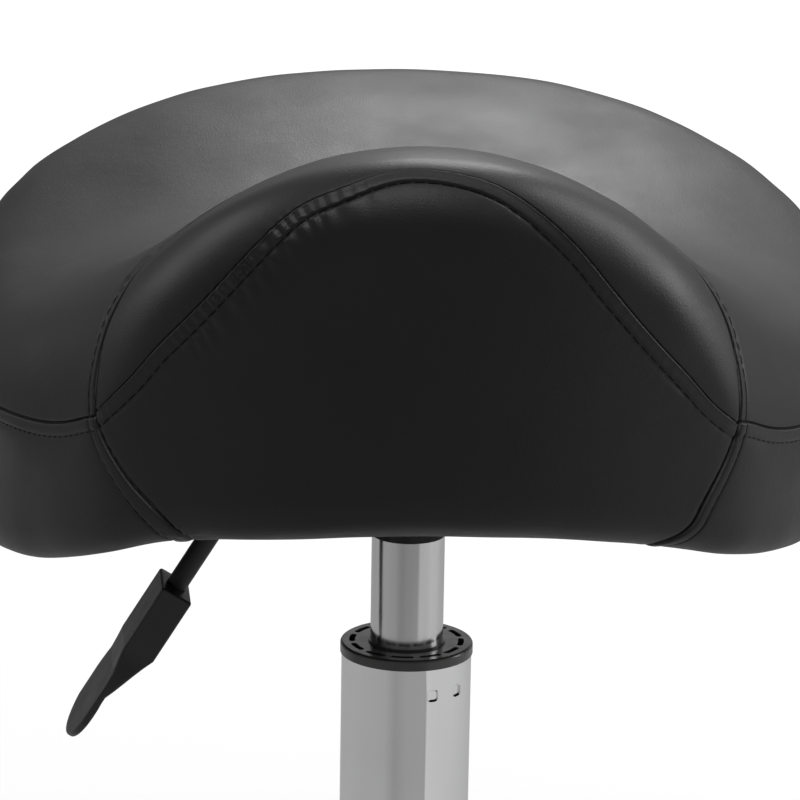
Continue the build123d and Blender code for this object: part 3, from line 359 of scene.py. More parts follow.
def spread(length, start=True, end=True, coarse=4.0, flap=5.2, oblique=False):
    """Fractions of a length, close together at its seamed ends."""
    fine = beside_seam(flap, oblique)
    fine = fine * min(1.0, (length / 2 if start and end else length) / (fine[-1] + 9))
    a = fine if start else np.array([0.0])
    b = (length - fine)[::-1] if end else np.array([length])
    count = max(2, int(round((b[0] - a[-1]) / coarse)) + 1)
    return np.r_[a, np.linspace(a[-1], b[0], count)[1:-1], b] / length


def panel(origins, first, last, rows, left=None, right=None, reach=1.0):
    """Columns of rays, each turned from the first line to the last; the outer columns follow left and right,
    and pull the columns within reach along."""
    count, steps = len(first), np.linspace(0, 1, 90)
    place = np.linspace(0, 1, count)

    def rays(V):
        A, B = unit(first - origins)[:, None], unit(last - origins)[:, None]
        D = A * (1 - V[..., None]) + B * V[..., None]
        for line, end, pull in ((left, 0, 1 - place / reach), (right, -1, 1 - (1 - place) / reach)):
            if line is not None:
                pull = np.clip(pull, 0, 1)
                pull = pull * pull * (3 - 2 * pull) if reach < 1 else pull
                turn = unit(along(line, V[end]) - origins[end])
                turn = turn * np.linalg.norm(D[end], axis=-1, keepdims=True)
                D = D + pull[:, None, None] * (turn - D[end])[None]
        return unit(D)
    P = cast(origins[:, None], rays(np.broadcast_to(steps, (count, len(steps)))))
    s = np.concatenate([np.zeros((count, 1)), np.cumsum(np.linalg.norm(np.diff(P, axis=1), axis=2), 1)], 1)
    s /= s[:, -1:]
    return cast(origins[:, None], rays(np.stack([np.interp(rows, s[i], steps) for i in range(count)])))


# %% The four panels
FRONT_LENGTH, BAND_LENGTH = 307.0, 875.0     # about the seams' lengths, in front and round the seat
columns = spread(FRONT_LENGTH, coarse=1.15)
sides = spread(BAND_LENGTH, coarse=1.9, flap=4.5, oblique=True)
down = spread(130, True, False)
front_edge, crest_edge = along(front_seam, columns), along(crest_seam, columns)
band_edge, rim_edge = along(band_seam, sides), along(rim_line, sides)
nose = np.broadcast_to(NOSE, (len(columns), 3))
panels = {"front": panel(nose, front_edge, along(front_rim, columns), down, corner_left, corner_right),
          "crest": panel(nose, front_edge, crest_edge, spread(75, flap=3.7))}
ring = np.vstack([crest_edge, band_edge[::-1][1:-1]])
middle = cast(HEART, unit(np.array([0.0, 0.05, 1.0])))
panels["top"] = panel(np.broadcast_to(HEART, ring.shape), ring, np.repeat(middle[None], len(ring), 0),
                      spread(170, True, False, 4.5, 3.7, True)[:-1])
inside = (band_edge + rim_edge) / 2          # the band's rays start 14 mm within it, halfway up
away = inside[:, :2] - CENTRE
inside[:, :2] = CENTRE + away * (1 - 14 / np.linalg.norm(away, axis=1))[:, None]
panels["band"] = panel(inside, band_edge, rim_edge, down, corner_left, corner_right, 60 / BAND_LENGTH)
for name, line in (("front", front_edge), ("crest", front_edge), ("band", band_edge)):
    panels[name][:, 0] = line
panels["crest"][:, -1], panels["top"][:, 0] = crest_edge, ring
for name in ("front", "band"):               # they share the two corner seams
    panels[name][0], panels[name][-1] = along(corner_left, down), along(corner_right, down)
print("panels:", {name: grid.shape[:2] for name, grid in panels.items()})

# %% [markdown]
# ## Sewing
# A seam pulls the leather down into a narrow groove. The folded allowance behind it lifts a strip on one
# side, and the topstitch that holds the allowance presses a second, shallower line at the strip's far edge.
# Where a curve is tight, the strip puckers between the stitches. Both could be painted as a bump, but their
# outline and their shadows show, so the points themselves are moved along the surface's direction.

# %% Distances to the seams
def smooth(x, a, b):
    """A soft step: 0 up to a and 1 from b on."""
    t = np.clip((x - a) / (b - a), 0, 1)
    return t * t * (3 - 2 * t)


def uneven(s, length, seed):
    """A value that wanders between -1 and 1 along a seam."""
    knots = np.random.default_rng(seed).uniform(-1, 1, int(s.max() / length) + 4)
    i = (s / length).astype(int)
    f = smooth(s / length - i, 0, 1)
    return knots[i] * (1 - f) + knots[i + 1] * f


# the name and line, the panel that carries the topstitch, its distance and how much that grows, the groove's
# depth and half width, how far the allowance stands out, and the stitches' pitch, length and half thickness
SEAMS = {}
for name, line, carrier, flap, flare, sunk, width, proud, *stitch in (
        ("front", front_seam, "front", 5.2, 0, 0.45, 0.28, 0.46, 5.0, 4.8, 0.24),
        ("crest", crest_seam, "top", 3.7, 0, 0.95, 0.45, 0.16, 4.6, 3.9, 0.15),
        ("band", band_seam, "band", 5.0, 0, 1.05, 0.40, 0.30, 3.6, 2.6, 0.21),
        ("corner_left", corner_left, "band", 4.5, 3.6, 1.3, 0.70, 0.34, 4.6, 3.4, 0.20),
        ("corner_right", corner_right, "band", 4.5, 0, 1.5, 0.75, 0.34, 4.6, 3.4, 0.20)):
    fine = along(line, np.linspace(0, 1, int(lengths_along(line)[-1] / 0.35)))
    tree = kdtree.KDTree(len(fine))
    for i, p in enumerate(fine):
        tree.insert(p, i)
    tree.balance()
    SEAMS[name] = {"s": lengths_along(fine), "tree": tree, "on": carrier, "flap": flap, "flare": flare,
                   "sunk": sunk, "width": width, "proud": proud, "stitch": stitch}


def allowance(seam, s):
    """How far from the seam the topstitch runs."""
    return seam["flap"] + seam["flare"] * s / seam["s"][-1]


def to_seam(seam, P):
    """For each point, how far along the seam and how far from it."""
    found = [seam["tree"].find(p)[1:] for p in P]
    return seam["s"][[i for i, _ in found]], np.array([d for _, d in found])


# %% Pull the seams in, lift the allowances
def bell(x, width):
    """1 at zero, fading out within about two widths."""
    return np.exp(-(x / width)**2)


def wrinkle(s, pitch, drift, length, seed, phase=0.0):
    """Waves along a seam, drifting by that share of a pitch within each length."""
    return np.sin(2 * np.pi * (s / pitch + drift * uneven(s, length, seed)) + phase)


def strip(seam, s, d):
    """The raised allowance, with a ridge beside the fold, and the trench that its topstitch presses."""
    past, proud = d - allowance(seam, s), seam["proud"]
    bite = 0.5 + 0.5 * np.cos(2 * np.pi * s / seam["stitch"][0])
    trench = (0.15 + 1.5 * proud + 0.20 * bite) * bell(past, 0.40) + 0.14 * bell(past, 1.4)
    return proud * (1 - smooth(past, -0.3, 0.8)) + 0.8 * proud * bell(d - 0.55, 0.4) - trench


def pucker(key, name, s, d):
    """The small folds of the panel called name beside one seam."""
    flap, whole = allowance(SEAMS[key], s), SEAMS[key]["s"][-1]
    if key == "front" and name in ("front", "crest"):        # at its tight curve, left of the nose
        tight = 0.13 + smooth(s, 36, 62) * (1 - smooth(s, 104, 144))
        fold = wrinkle(s, 4.3, 0.75, 11, 3) * (0.75 + 0.65 * uneven(s, 5.0, 4))
        if name == "crest":
            return 0.12 * tight * fold * bell(d, 2.4)
        wave = wrinkle(s, 6.6, 0.60, 15, 6, 0.8) * (0.8 + 0.4 * uneven(s, 7.0, 7))
        between = smooth(d, 0.2, 1.2) * (1 - smooth(d, flap - 1.2, flap - 0.1))
        below = smooth(d, flap + 0.1, flap + 1.2) * bell(d - flap, 5.2)
        return tight * (0.50 * fold * between + 0.62 * wave * below)
    if key == "crest" and name == "top":                     # drawn by the bends of the crest's seam
        beside = bell(s - 62, 30) + bell(s - whole + 62, 30)
        return 0.22 * beside * wrinkle(s, 11, 0.7, 21, 8) * smooth(d, flap, flap + 3) * bell(d - flap, 14)
    if key == "corner_left" and name in ("front", "band"):   # gathered at the corner's lower end
        return 0.45 * wrinkle(s, 4.2, 0.4, 8, 9) * smooth(s, whole - 26, whole - 12) * bell(d - 4, 5)
    return 0.0


def sew(name, grid):
    """A panel's points after sewing, and the form's direction at each."""
    P = grid.reshape(-1, 3)
    N = outwards(P)
    near = {key: to_seam(seam, P) for key, seam in SEAMS.items()}
    moved = 0.22 * np.array([noise.noise(Vector(p) * 0.045) for p in P])      # the foam's slight unevenness
    for key, (s, d) in near.items():
        seam = SEAMS[key]
        pull = 1 + 0.22 * np.cos(2 * np.pi * s / seam["stitch"][0])
        moved -= seam["sunk"] * pull * bell(d, seam["width"]) + 0.09 * bell(d, 1.6)
    for key, (s, d) in near.items():
        clear = smooth(d, 0.2, 0.7)          # nothing at the seam itself, which two panels share
        for other, (_, gap) in near.items():
            if other != key:
                clear = clear * smooth(gap, 0.2, 0.8)
        carried = strip(SEAMS[key], s, d) if SEAMS[key]["on"] == name else 0.0
        moved += clear * (carried + pucker(key, name, s, d))
    return (P + N * moved[:, None]).reshape(grid.shape), N.reshape(grid.shape)


sewn = {name: sew(name, grid) for name, grid in panels.items()}
print("sewn:", {name: "%.2f mm deepest" % float(np.linalg.norm(sewn[name][0] - panels[name], axis=-1).max())
                for name in panels})

# %% [markdown]
# ## The underside
# Below the rim the cover turns inwards, is pulled flat under the plywood board and stapled there. Inside,
# the foam has a pocket for the board. A sheet with a thickness could stop at the hem, but a closed skin
# exports and shades better, so the rings go on: round the rim's lip, in under the board, back out, up the
# pocket's wall past the board's edge, and together over it.

# %% Rings from the rim to the pocket
BEND, BOARD_FLAT = 155.4, 60.0               # the board's sides are bent down, outside a flat middle
POCKET_WALL, POCKET_TOP = 13.7, 10.3         # the pocket's inset from the outline, and its height


def board_height(x):
    """The board's underside."""
    return -(BEND - np.sqrt(BEND**2 - np.maximum(np.abs(x) - BOARD_FLAT, 0)**2))


edge = outline()
loop = np.vstack([sewn["band"][0][:, -1], sewn["front"][0][::-1, -1][1:-1]])
toward = np.arctan2(loop[:, 1] - CENTRE[1], loop[:, 0])
flat = np.stack([np.cos(toward), np.sin(toward)], -1)


def at_inset(inset):
    """Points at one distance inside the outline, one on each column's ray."""
    near, far = np.full(len(loop), 40.0), np.full(len(loop), 190.0)
    for _ in range(18):
        middle = (near + far) / 2
        P = CENTRE + flat * middle[:, None]
        gap = np.sqrt(((P[:, None] - edge[None])**2).sum(-1)).min(1)
        deep = gap > inset
        near, far = np.where(deep, middle, near), np.where(deep, far, middle)
    return CENTRE + flat * near[:, None]


s = lengths_along(loop)
pleat = 0.5 * uneven(s, 4.0, 11) + 0.5 * uneven(s, 9.0, 12)
lip = at_inset(24.0)
hem_rings = []
for share, lift in ((0.25, 0.3), (0.5, 1.4), (0.72, 3.6), (0.86, 6.6)):
    P = loop[:, :2] * (1 - share) + lip * share
    hem_rings.append(np.c_[P, rim_height(P[:, 0]) + lift + 0.25 * share * pleat])
for inset, below, wave in (
        (24.0, 4.5, 0.5), (25.0, 2.6, 0.5), (28.0, 2.1, 0.6), (36.0, 1.9, 0.4), (39.0, 1.8, 0.2),
        (39.3, 1.4, 0.0), (39.0, 0.95, 0.0), (26.0, 0.95, 0.0), (POCKET_WALL, 0.95, 0.0)):
    P = at_inset(inset)
    hem_rings.append(np.c_[P, board_height(P[:, 0]) - below - wave * np.maximum(pleat, -0.6)])
wall = at_inset(POCKET_WALL)
hem_rings += [np.c_[wall, board_height(wall[:, 0]) + h] for h in (5.0, POCKET_TOP - 0.1)]
hem_rings += [np.c_[CENTRE + (wall - CENTRE) * k, board_height(wall[:, 0] * k) + POCKET_TOP]
              for k in (0.75, 0.5, 0.25)]
underside = np.stack([loop] + hem_rings, 1)
print("underside:", underside.shape[:2], "rings to the pocket's middle")

# %% Join the panels into one closed cover
MERGE = 0.0005                               # points that panels share are this close, or closer


def skin(name, points, faces, merge):
    """A smooth mesh from points in the seat's millimetres, its faces turned outwards."""
    mesh = bpy.data.meshes.new(name)
    mesh.from_pydata(((points + [0, 0, BOARD]) * MM).tolist(), [], faces)
    work = bmesh.new()
    work.from_mesh(mesh)
    if merge:
        bmesh.ops.remove_doubles(work, verts=work.verts, dist=MERGE * MM)
    bmesh.ops.recalc_face_normals(work, faces=work.faces)
    open_edges = sum(not e.is_manifold for e in work.edges)
    for face in work.faces:
        face.smooth = True
    work.to_mesh(mesh)
    work.free()
    piece = bpy.data.objects.new(name, mesh)
    bpy.context.collection.objects.link(piece)
    print(name + ":", len(mesh.polygons), "faces,", open_edges, "open edges")
    return piece


def grid_faces(start, columns, rows, closed):
    """The faces between a grid's points, which are numbered from start."""
    i = np.arange(columns if closed else columns - 1)[:, None]
    j = np.arange(rows - 1)[None]
    k = (i + 1) % columns
    corners = np.stack([i * rows + j, k * rows + j, k * rows + j + 1, i * rows + j + 1], -1)
    return (start + corners).reshape(-1, 4)


points, faces, count = [], [], 0
for grid, closed, pole in ((sewn["front"][0], False, None), (sewn["crest"][0], False, None),
                           (sewn["band"][0], False, None), (sewn["top"][0], True, middle),
                           (underside, True, np.array([*CENTRE, POCKET_TOP]))):
    n, m = grid.shape[:2]
    points.append(grid.reshape(-1, 3))
    faces += grid_faces(count, n, m, closed).tolist()
    if pole is not None:
        points.append(pole[None])
        faces += [[count + i * m + m - 1, count + ((i + 1) % n) * m + m - 1, count + n * m]
                  for i in range(n)]
    count += n * m + (pole is not None)
seat_cushion = skin("seat_cushion", np.vstack(points), faces, merge=True)
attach(seat_cushion, "seat")
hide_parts("seat_cover", "seat_foam")

# %% [markdown]
# ## The topstitch
# Each stitch is a short length of twisted thread that comes out of one hole, lies on the leather and dives
# into the next. One stitch could be arrayed along a curve, but its lean would not follow the panel, so
# every stitch is laid between two places of the stitch line: a thin capsule of a few dozen faces, highest
# in its middle.

# %% Lay the stitches
RINGS, SIDES = 7, 6                          # of one stitch's capsule
AROUND = np.arange(SIDES) * 2 * math.pi / SIDES
ALL, BUT_LAST, BUT_FIRST = slice(None), slice(None, -1), slice(1, None)


def stitch_line(name):
    """The places at the allowance's edge, in order along the seam, with the surface's direction there."""
    seam = SEAMS[name]
    raw, (grid, N) = panels[seam["on"]], sewn[seam["on"]]
    s, d = (v.reshape(raw.shape[:2]) for v in to_seam(seam, raw.reshape(-1, 3)))
    row, past = np.concatenate([s[..., None], grid, N], -1), d - allowance(seam, s)
    found = []
    for a, b in (((ALL, BUT_LAST), (ALL, BUT_FIRST)), ((BUT_LAST, ALL), (BUT_FIRST, ALL))):
        f = (past[a] / (past[a] - past[b] + 1e-12))[..., None]
        found.append((row[a] * (1 - f) + row[b] * f)[past[a] * past[b] < 0])
    found = np.vstack(found)
    found = found[np.argsort(found[:, 0])]
    return found[np.r_[True, np.diff(found[:, 0]) > 0.05]]


def topstitch(name):
    """All the stitches of one seam, as one piece."""
    line, (pitch, length, thick) = stitch_line(name), SEAMS[name]["stitch"]
    t = np.linspace(-1, 1, RINGS)
    lifts = 0.50 - 0.8 * SEAMS[name]["proud"] - 0.35 * t**4
    radii = thick * np.sqrt(np.maximum(1 - t**4, 0.02))
    points, faces, count = [], [], int((line[-1, 0] - line[0, 0]) / pitch)
    for k in range(count):
        at = line[0, 0] + pitch * (k + 0.5) + t * length / 2
        place = np.stack([np.interp(at, line[:, 0], line[:, c]) for c in range(1, 7)], -1)
        N, T = unit(place[:, 3:]), unit(np.gradient(place[:, :3], axis=0))
        start = len(points)
        for p, n, b, lift, r in zip(place[:, :3], N, unit(np.cross(T, N)), lifts, radii):
            points += [p + n * (lift + r * math.sin(w)) + b * r * math.cos(w) for w in AROUND]
        for u in range(start, start + (RINGS - 1) * SIDES, SIDES):
            faces += [[u + w, u + (w + 1) % SIDES, u + SIDES + (w + 1) % SIDES, u + SIDES + w]
                      for w in range(SIDES)]
        faces += [[start + w for w in range(SIDES)][::-1],
                  [start + (RINGS - 1) * SIDES + w for w in range(SIDES)]]
    piece = skin("topstitch_" + name, np.array(points), faces, merge=False)
    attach(piece, "seat")
    print(piece.name, count, "stitches")
    return piece


threads = [topstitch(name) for name in SEAMS]

# %% [markdown]
# ## Finishes
# A finish is more than a colour: leather has grain, ground steel has fine lines, a casting has the marks of
# its polishing. Each is built from noise in the object's own coordinates, so it stays put when the part
# moves. The helpers below keep every recipe short.

# %% Helpers for finishes
FINISHES = {}


class Finish:
    """A material with a principled shader, fed from the object's own coordinates."""

    def __init__(self, name, colour, roughness, metallic=0.0, specular=0.5):
        self.material = FINISHES[name] = bpy.data.materials.new(name)
        self.material.use_nodes = True
        self.tree = self.material.node_tree
        self.shader = self.tree.nodes["Principled BSDF"]
        for socket, value in (("Base Color", (*colour, 1)), ("Roughness", roughness),
                              ("Metallic", metallic), ("Specular IOR Level", specular)):
            self.shader.inputs[socket].default_value = value
        self.coords = self.node("TexCoord").outputs["Object"]
        self.normal = None

    def node(self, kind, **settings):
        node = self.tree.nodes.new("ShaderNode" + kind)
        for key, value in settings.items():
            setattr(node, key, value)
        return node

    def link(self, a, b):
        self.tree.links.new(a, b)

    def noise(self, scale, detail=4.0, stretch=(1, 1, 1), distortion=0.0):
        """A cloudy value about 0.5; a stretch below 1 draws it out along that axis."""
        mapping, noise = self.node("Mapping"), self.node("TexNoise")
        mapping.inputs["Scale"].default_value = stretch
        noise.inputs["Scale"].default_value = scale
        noise.inputs["Detail"].default_value = detail
        noise.inputs["Distortion"].default_value = distortion
        self.link(self.coords, mapping.inputs["Vector"])
        self.link(mapping.outputs["Vector"], noise.inputs["Vector"])
        return noise.outputs["Fac"]

    def cells(self, scale, feature="DISTANCE_TO_EDGE", randomness=1.0):
        """Distances within a pattern of cells: to their edges, or with F1 to their middles."""
        cells = self.node("TexVoronoi", feature=feature)
        cells.inputs["Scale"].default_value = scale
        cells.inputs["Randomness"].default_value = randomness
        self.link(self.coords, cells.inputs["Vector"])
        return cells.outputs["Distance"]

    def span(self, value, a, b, low, high):
        """A value between a and b, stretched to lie between low and high."""
        node = self.node("MapRange")
        for socket, number in (("From Min", a), ("From Max", b), ("To Min", low), ("To Max", high)):
            node.inputs[socket].default_value = number
        self.link(value, node.inputs["Value"])
        return node.outputs["Result"]

    def colours(self, value, *stops):
        """The colour follows the value through the given stops."""
        ramp = self.node("ValToRGB")
        while len(ramp.color_ramp.elements) < len(stops):
            ramp.color_ramp.elements.new(0.5)
        for element, (place, colour) in zip(ramp.color_ramp.elements, stops):
            element.position, element.color = place, (*colour, 1)
        self.link(value, ramp.inputs["Fac"])
        self.link(ramp.outputs["Color"], self.shader.inputs["Base Color"])

    def rough(self, value, low, high, a=0.3, b=0.7):
        """The roughness follows the value."""
        self.link(self.span(value, a, b, low, high), self.shader.inputs["Roughness"])

    def bump(self, height, distance, strength=1.0):
        """Relief on top of the bumps before; the distance is its height in millimetres."""
        bump = self.node("Bump")
        bump.inputs["Distance"].default_value = distance * MM
        bump.inputs["Strength"].default_value = strength
        self.link(height, bump.inputs["Height"])
        if self.normal:
            self.link(self.normal, bump.inputs["Normal"])
        self.normal = bump.outputs["Normal"]
        self.link(self.normal, self.shader.inputs["Normal"])


# %% [markdown]
# ### Leather, thread and cloth
# The cover is smooth upholstery leather with a satin top coat: its grain is a net of fine creases, a
# fraction of a millimetre deep, that breaks reflections up a little. Its black is soft, and the coat's
# gloss varies with handling. The dust cover is a non-woven cloth, pressed with a pattern of small dots.

# %% Leather
leather = Finish("black_leather", (0.012, 0.012, 0.0125), 0.42, specular=0.33)
leather.bump(leather.noise(22, 3), 0.9, 0.25)
leather.bump(leather.noise(150, 4), 0.22, 0.30)
leather.bump(leather.cells(820), 0.12, 0.50)
leather.bump(leather.noise(1900, 3), 0.05, 0.35)
leather.rough(leather.noise(34, 5), 0.36, 0.46)

thread = Finish("black_thread", (0.004, 0.004, 0.004), 0.60, specular=0.15)
thread.bump(thread.noise(2600, 2, (1, 1, 3)), 0.08, 0.6)
thread.rough(thread.noise(700), 0.48, 0.62)

cloth = Finish("dust_cloth", (0.012, 0.012, 0.012), 0.95, specular=0.2)
cloth.bump(cloth.cells(420, "F1", randomness=0.15), 0.25, 0.7)
cloth.bump(cloth.noise(900, 6, (1, 3, 1)), 0.10, 0.6)
cloth.colours(cloth.noise(160, 8, (4, 1, 1)),
              (0.35, (0.008, 0.008, 0.008)), (0.65, (0.020, 0.020, 0.020)))

foam = Finish("foam", (0.55, 0.52, 0.44), 0.95, specular=0.1)
foam.bump(foam.cells(900, "F1"), 0.5, 0.8)
foam.colours(foam.noise(90), (0.3, (0.50, 0.46, 0.36)), (0.7, (0.60, 0.57, 0.50)))
print("soft finishes:", len(FINISHES))

# %% [markdown]
# ### Metals
# Chrome is a mirror with hairline wiping marks. The gas cylinder is ground along its length and hard-
# chromed, so its highlights are drawn out. Zinc has large pale crystals, cast aluminium a cloudy polish,
# and phosphated steel is nearly black and dry.

# %% Metals
chrome = Finish("chrome_tube", (0.80, 0.80, 0.81), 0.05, 1.0)
chrome.rough(chrome.noise(30, 8, (1, 1, 0.15)), 0.02, 0.06)
chrome.bump(chrome.noise(55, 2, (1, 1, 0.25)), 0.05, 0.25)
chrome.colours(chrome.noise(14, 3), (0.3, (0.76, 0.76, 0.77)), (0.7, (0.83, 0.83, 0.84)))

ground = Finish("polished_steel", (0.66, 0.66, 0.67), 0.25, 1.0)
ground.rough(ground.noise(420, 6, (1, 1, 0.02)), 0.13, 0.20)
ground.bump(ground.noise(1300, 4, (1, 1, 0.02)), 0.01, 0.3)
ground.colours(ground.noise(160, 5, (1, 1, 0.04)), (0.3, (0.63, 0.62, 0.63)), (0.7, (0.70, 0.69, 0.70)))

zinc = Finish("zinc_steel", (0.62, 0.62, 0.60), 0.30, 1.0)
zinc.colours(zinc.cells(140, "F1"), (0.1, (0.52, 0.53, 0.53)), (0.6, (0.66, 0.67, 0.66)),
             (0.9, (0.60, 0.58, 0.50)))
zinc.rough(zinc.noise(220, 6), 0.24, 0.40)
zinc.bump(zinc.noise(700, 3), 0.05, 0.4)

bearing = Finish("bearing_steel", (0.55, 0.55, 0.56), 0.18, 1.0)
bearing.rough(bearing.noise(500, 5, (1, 1, 0.1)), 0.12, 0.26)
bearing.colours(bearing.noise(90), (0.3, (0.48, 0.48, 0.49)), (0.7, (0.60, 0.60, 0.61)))

phosphate = Finish("black_phosphate", (0.03, 0.03, 0.032), 0.6, 0.6)
phosphate.bump(phosphate.noise(1500, 4), 0.05, 0.5)
phosphate.colours(phosphate.noise(240, 6), (0.3, (0.018, 0.018, 0.019)), (0.7, (0.045, 0.044, 0.042)))

brass = Finish("brass_valve", (0.72, 0.55, 0.25), 0.25, 1.0)
brass.rough(brass.noise(600, 4, (1, 1, 6)), 0.18, 0.34)
brass.colours(brass.noise(120), (0.3, (0.62, 0.45, 0.19)), (0.7, (0.76, 0.59, 0.29)))

casting = Finish("polished_aluminium", (0.75, 0.75, 0.77), 0.16, 1.0)
casting.rough(casting.noise(60, 8, distortion=0.6), 0.10, 0.26)
casting.bump(casting.noise(38, 4), 0.15, 0.3)
casting.bump(casting.noise(800, 3, (1, 4, 1)), 0.02, 0.4)
casting.colours(casting.noise(25, 4), (0.3, (0.70, 0.70, 0.72)), (0.7, (0.78, 0.78, 0.80)))

coat = Finish("black_steel", (0.016, 0.016, 0.017), 0.42, specular=0.45)
coat.bump(coat.noise(420, 3), 0.10, 0.35)
coat.rough(coat.noise(120, 5), 0.36, 0.50)
coat.colours(coat.noise(60, 4), (0.3, (0.013, 0.013, 0.014)), (0.7, (0.020, 0.020, 0.021)))
print("with the metals:", len(FINISHES))

# %% [markdown]
# ### Plastics, rubber and wood
# Moulded nylon takes the fine spark texture of its tool, acetal comes out smoother, and the wheels' treads
# are dulled by the floor. Birch plywood is pale, with its grain along the board and thin layers that show at
# its edge.

# %% Plastics, rubber and wood
nylon = Finish("black_nylon", (0.021, 0.020, 0.020), 0.38, specular=0.5)
nylon.bump(nylon.noise(1500, 3), 0.07, 0.45)
nylon.bump(nylon.noise(60, 3), 0.25, 0.15)
nylon.rough(nylon.noise(90, 5), 0.31, 0.43)

acetal = Finish("black_acetal", (0.062, 0.060, 0.058), 0.25, specular=0.6)
acetal.bump(acetal.noise(900, 2), 0.03, 0.4)
acetal.rough(acetal.noise(150, 4), 0.20, 0.28)

tread = Finish("wheel_nylon", (0.022, 0.022, 0.024), 0.35, specular=0.5)
tread.bump(tread.noise(500, 5), 0.06, 0.4)
tread.colours(tread.noise(130, 7), (0.35, (0.018, 0.018, 0.019)), (0.75, (0.045, 0.044, 0.043)))
tread.rough(tread.noise(130, 7), 0.28, 0.55)

rubber = Finish("black_rubber", (0.018, 0.018, 0.018), 0.75, specular=0.35)
rubber.bump(rubber.noise(800, 4), 0.08, 0.6)
rubber.rough(rubber.noise(200, 4), 0.68, 0.82)

plywood = Finish("plywood", (0.55, 0.38, 0.22), 0.6, specular=0.3)
plywood.colours(plywood.noise(70, 6, (3, 0.25, 8)), (0.3, (0.42, 0.27, 0.14)), (0.5, (0.56, 0.40, 0.24)),
                (0.7, (0.64, 0.49, 0.32)))
plywood.bump(plywood.noise(400, 5, (3, 0.2, 3)), 0.15, 0.5)
print("all finishes:", sorted(FINISHES))

# %% Dress the frame and the new pieces
for part in frame["record"]["subparts"]:
    node = frame["nodes"][part["node"]]
    node.data.materials.clear()
    node.data.materials.append(FINISHES[part["material_slot"]])
seat_cushion.data.materials.append(leather.material)
for piece in threads:
    piece.data.materials.append(thread.material)

# %% [markdown]
# ## Floor, studio and light
# The stool stands on a pale floor in a white studio, lit plainly by four soft lamps and the room itself. To
# the camera the floor glows a little and the room is white, so the background is clean while the lamps stay
# modest and the floor still keeps the shadow. In reflections, the walls are brighter in some directions
# than in others, which is what draws the highlights on the bright parts.

# %% Floor
def ray_kinds(tree):
    """What a ray is: straight from the camera, or on its way from a mirror or through glass."""
    path, either = tree.nodes.new("ShaderNodeLightPath"), tree.nodes.new("ShaderNodeMath")
    either.operation = "MAXIMUM"
    tree.links.new(path.outputs["Is Glossy Ray"], either.inputs[0])
    tree.links.new(path.outputs["Is Transmission Ray"], either.inputs[1])
    return path.outputs["Is Camera Ray"], either.outputs[0]


def math_node(tree, operation, a, b):
    node = tree.nodes.new("ShaderNodeMath")
    node.operation = operation
    for socket, value in zip(node.inputs, (a, b)):
        if isinstance(value, (int, float)):
            socket.default_value = value
        else:
            tree.links.new(value, socket)
    return node.outputs[0]


def round_the_room(tree, vector, stops):
    """A brightness by compass direction: 0 and 1 are in front, a quarter is left, a half behind."""
    split, turned, ramp = (tree.nodes.new("ShaderNode" + kind)
                           for kind in ("SeparateXYZ", "MapRange", "ValToRGB"))
    tree.links.new(vector, split.inputs[0])
    turned.inputs["From Min"].default_value, turned.inputs["From Max"].default_value = -math.pi, math.pi
    compass = math_node(tree, "ARCTAN2", split.outputs["X"], split.outputs["Y"])
    tree.links.new(compass, turned.inputs["Value"])
    tree.links.new(turned.outputs["Result"], ramp.inputs["Fac"])
    while len(ramp.color_ramp.elements) < len(stops):
        ramp.color_ramp.elements.new(0.5)
    for element, (place, value) in zip(ramp.color_ramp.elements, stops):
        element.position, element.color = place, (value, value, value, 1)
    return ramp.outputs["Color"], split.outputs["Z"]


bpy.ops.object.select_all(action="DESELECT")
bpy.ops.mesh.primitive_plane_add(size=60)
floor = bpy.context.object
floor.name = "floor"
paper = Finish("floor_paper", (0.40, 0.40, 0.40), 0.9, specular=0.0)
paper.shader.inputs["Emission Color"].default_value = (1, 1, 1, 1)
from_camera, mirrored = ray_kinds(paper.tree)
distance = paper.node("VectorMath", operation="LENGTH")
paper.link(paper.coords, distance.inputs[0])
glow = paper.span(distance.outputs["Value"], 0.5, 3.5, 0.58, 0.98)      # rising from 0.5 m to 3.5 m away
# Painted reflection: only mirrors see this glow of the floor. It is brighter in some compass directions than
# others, and it draws the light and dark bands on the chrome.
sheen, _ = round_the_room(paper.tree, paper.coords, (
    (0.0, 0.04), (0.055, 0.0), (0.105, 0.08), (0.25, 0.10), (0.50, 0.04), (0.70, 0.12),
    (0.87, 0.25), (0.905, 0.29), (0.909, 0.0), (0.913, 0.03), (1.0, 0.04)))
strength = math_node(paper.tree, "ADD", math_node(paper.tree, "MULTIPLY", from_camera, glow),
                     math_node(paper.tree, "MULTIPLY", mirrored, sheen))
paper.link(strength, paper.shader.inputs["Emission Strength"])
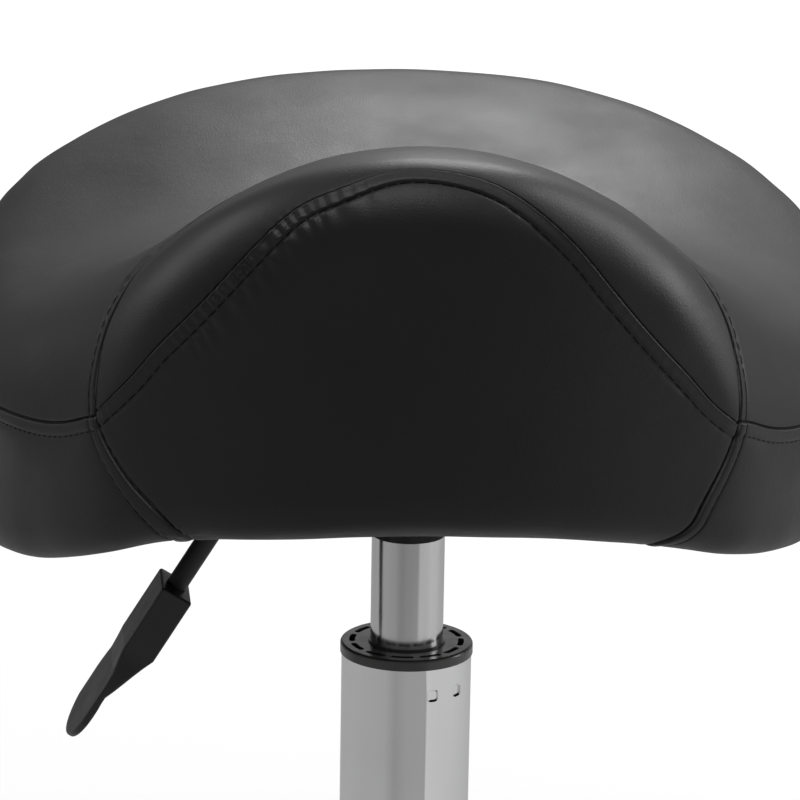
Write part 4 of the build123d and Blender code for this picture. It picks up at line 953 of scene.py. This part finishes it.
floor.data.materials.append(paper.material)
print("floor:", [round(side) for side in floor.dimensions], "m")

# %% The room
world = bpy.data.worlds.new("studio")
bpy.context.scene.world = world
world.use_nodes = True
sky = world.node_tree
background = sky.nodes["Background"]
walls, rise = round_the_room(sky, sky.nodes.new("ShaderNodeTexCoord").outputs["Generated"], (
    (0.0, 0.40), (0.14, 0.46), (0.25, 0.45), (0.43, 0.30), (0.49, 0.95), (0.58, 1.0),
    (0.75, 0.90), (0.86, 0.60), (1.0, 0.40)))
higher = sky.nodes.new("ShaderNodeMapRange")
for socket, value in (("From Min", 0.05), ("From Max", 0.45), ("To Min", 0.15), ("To Max", 1.0)):
    higher.inputs[socket].default_value = value
sky.links.new(rise, higher.inputs["Value"])
from_camera, mirrored = ray_kinds(sky)
AMBIENT = 0.20
wall = math_node(sky, "MULTIPLY", math_node(sky, "MULTIPLY", walls, higher.outputs["Result"]), mirrored)
lit = math_node(sky, "MAXIMUM", math_node(sky, "MAXIMUM", from_camera, wall), AMBIENT)
sky.links.new(lit, background.inputs["Strength"])
background.inputs["Color"].default_value = (1, 1, 1, 1)
print("the room glows with at least", AMBIENT)

# %% Lamps
def softbox(name, place, target, wide, tall, power):
    """A rectangular soft lamp that faces its target."""
    lamp = bpy.data.lights.new(name, "AREA")
    lamp.shape, lamp.energy, lamp.size, lamp.size_y = "RECTANGLE", power, wide, tall
    box = bpy.data.objects.new(name, lamp)
    bpy.context.collection.objects.link(box)
    box.location = place
    box.rotation_euler = (Vector(target) - Vector(place)).to_track_quat("-Z", "Y").to_euler()


softbox("key", (0.28, 1.56, 2.50), (0, 0.05, 0.5), 1.0, 1.3, 26)
softbox("right_strip", (1.85, 0.20, 1.55), (0, 0, 0.55), 0.9, 2.3, 31)
softbox("left_strip", (-1.80, 0.35, 1.45), (0, 0, 0.55), 0.9, 1.3, 9)
softbox("fill", (-0.40, -1.35, 2.30), (0, 0, 0.5), 1.2, 1.2, 14)
bpy.context.scene.view_settings.view_transform = "Standard"
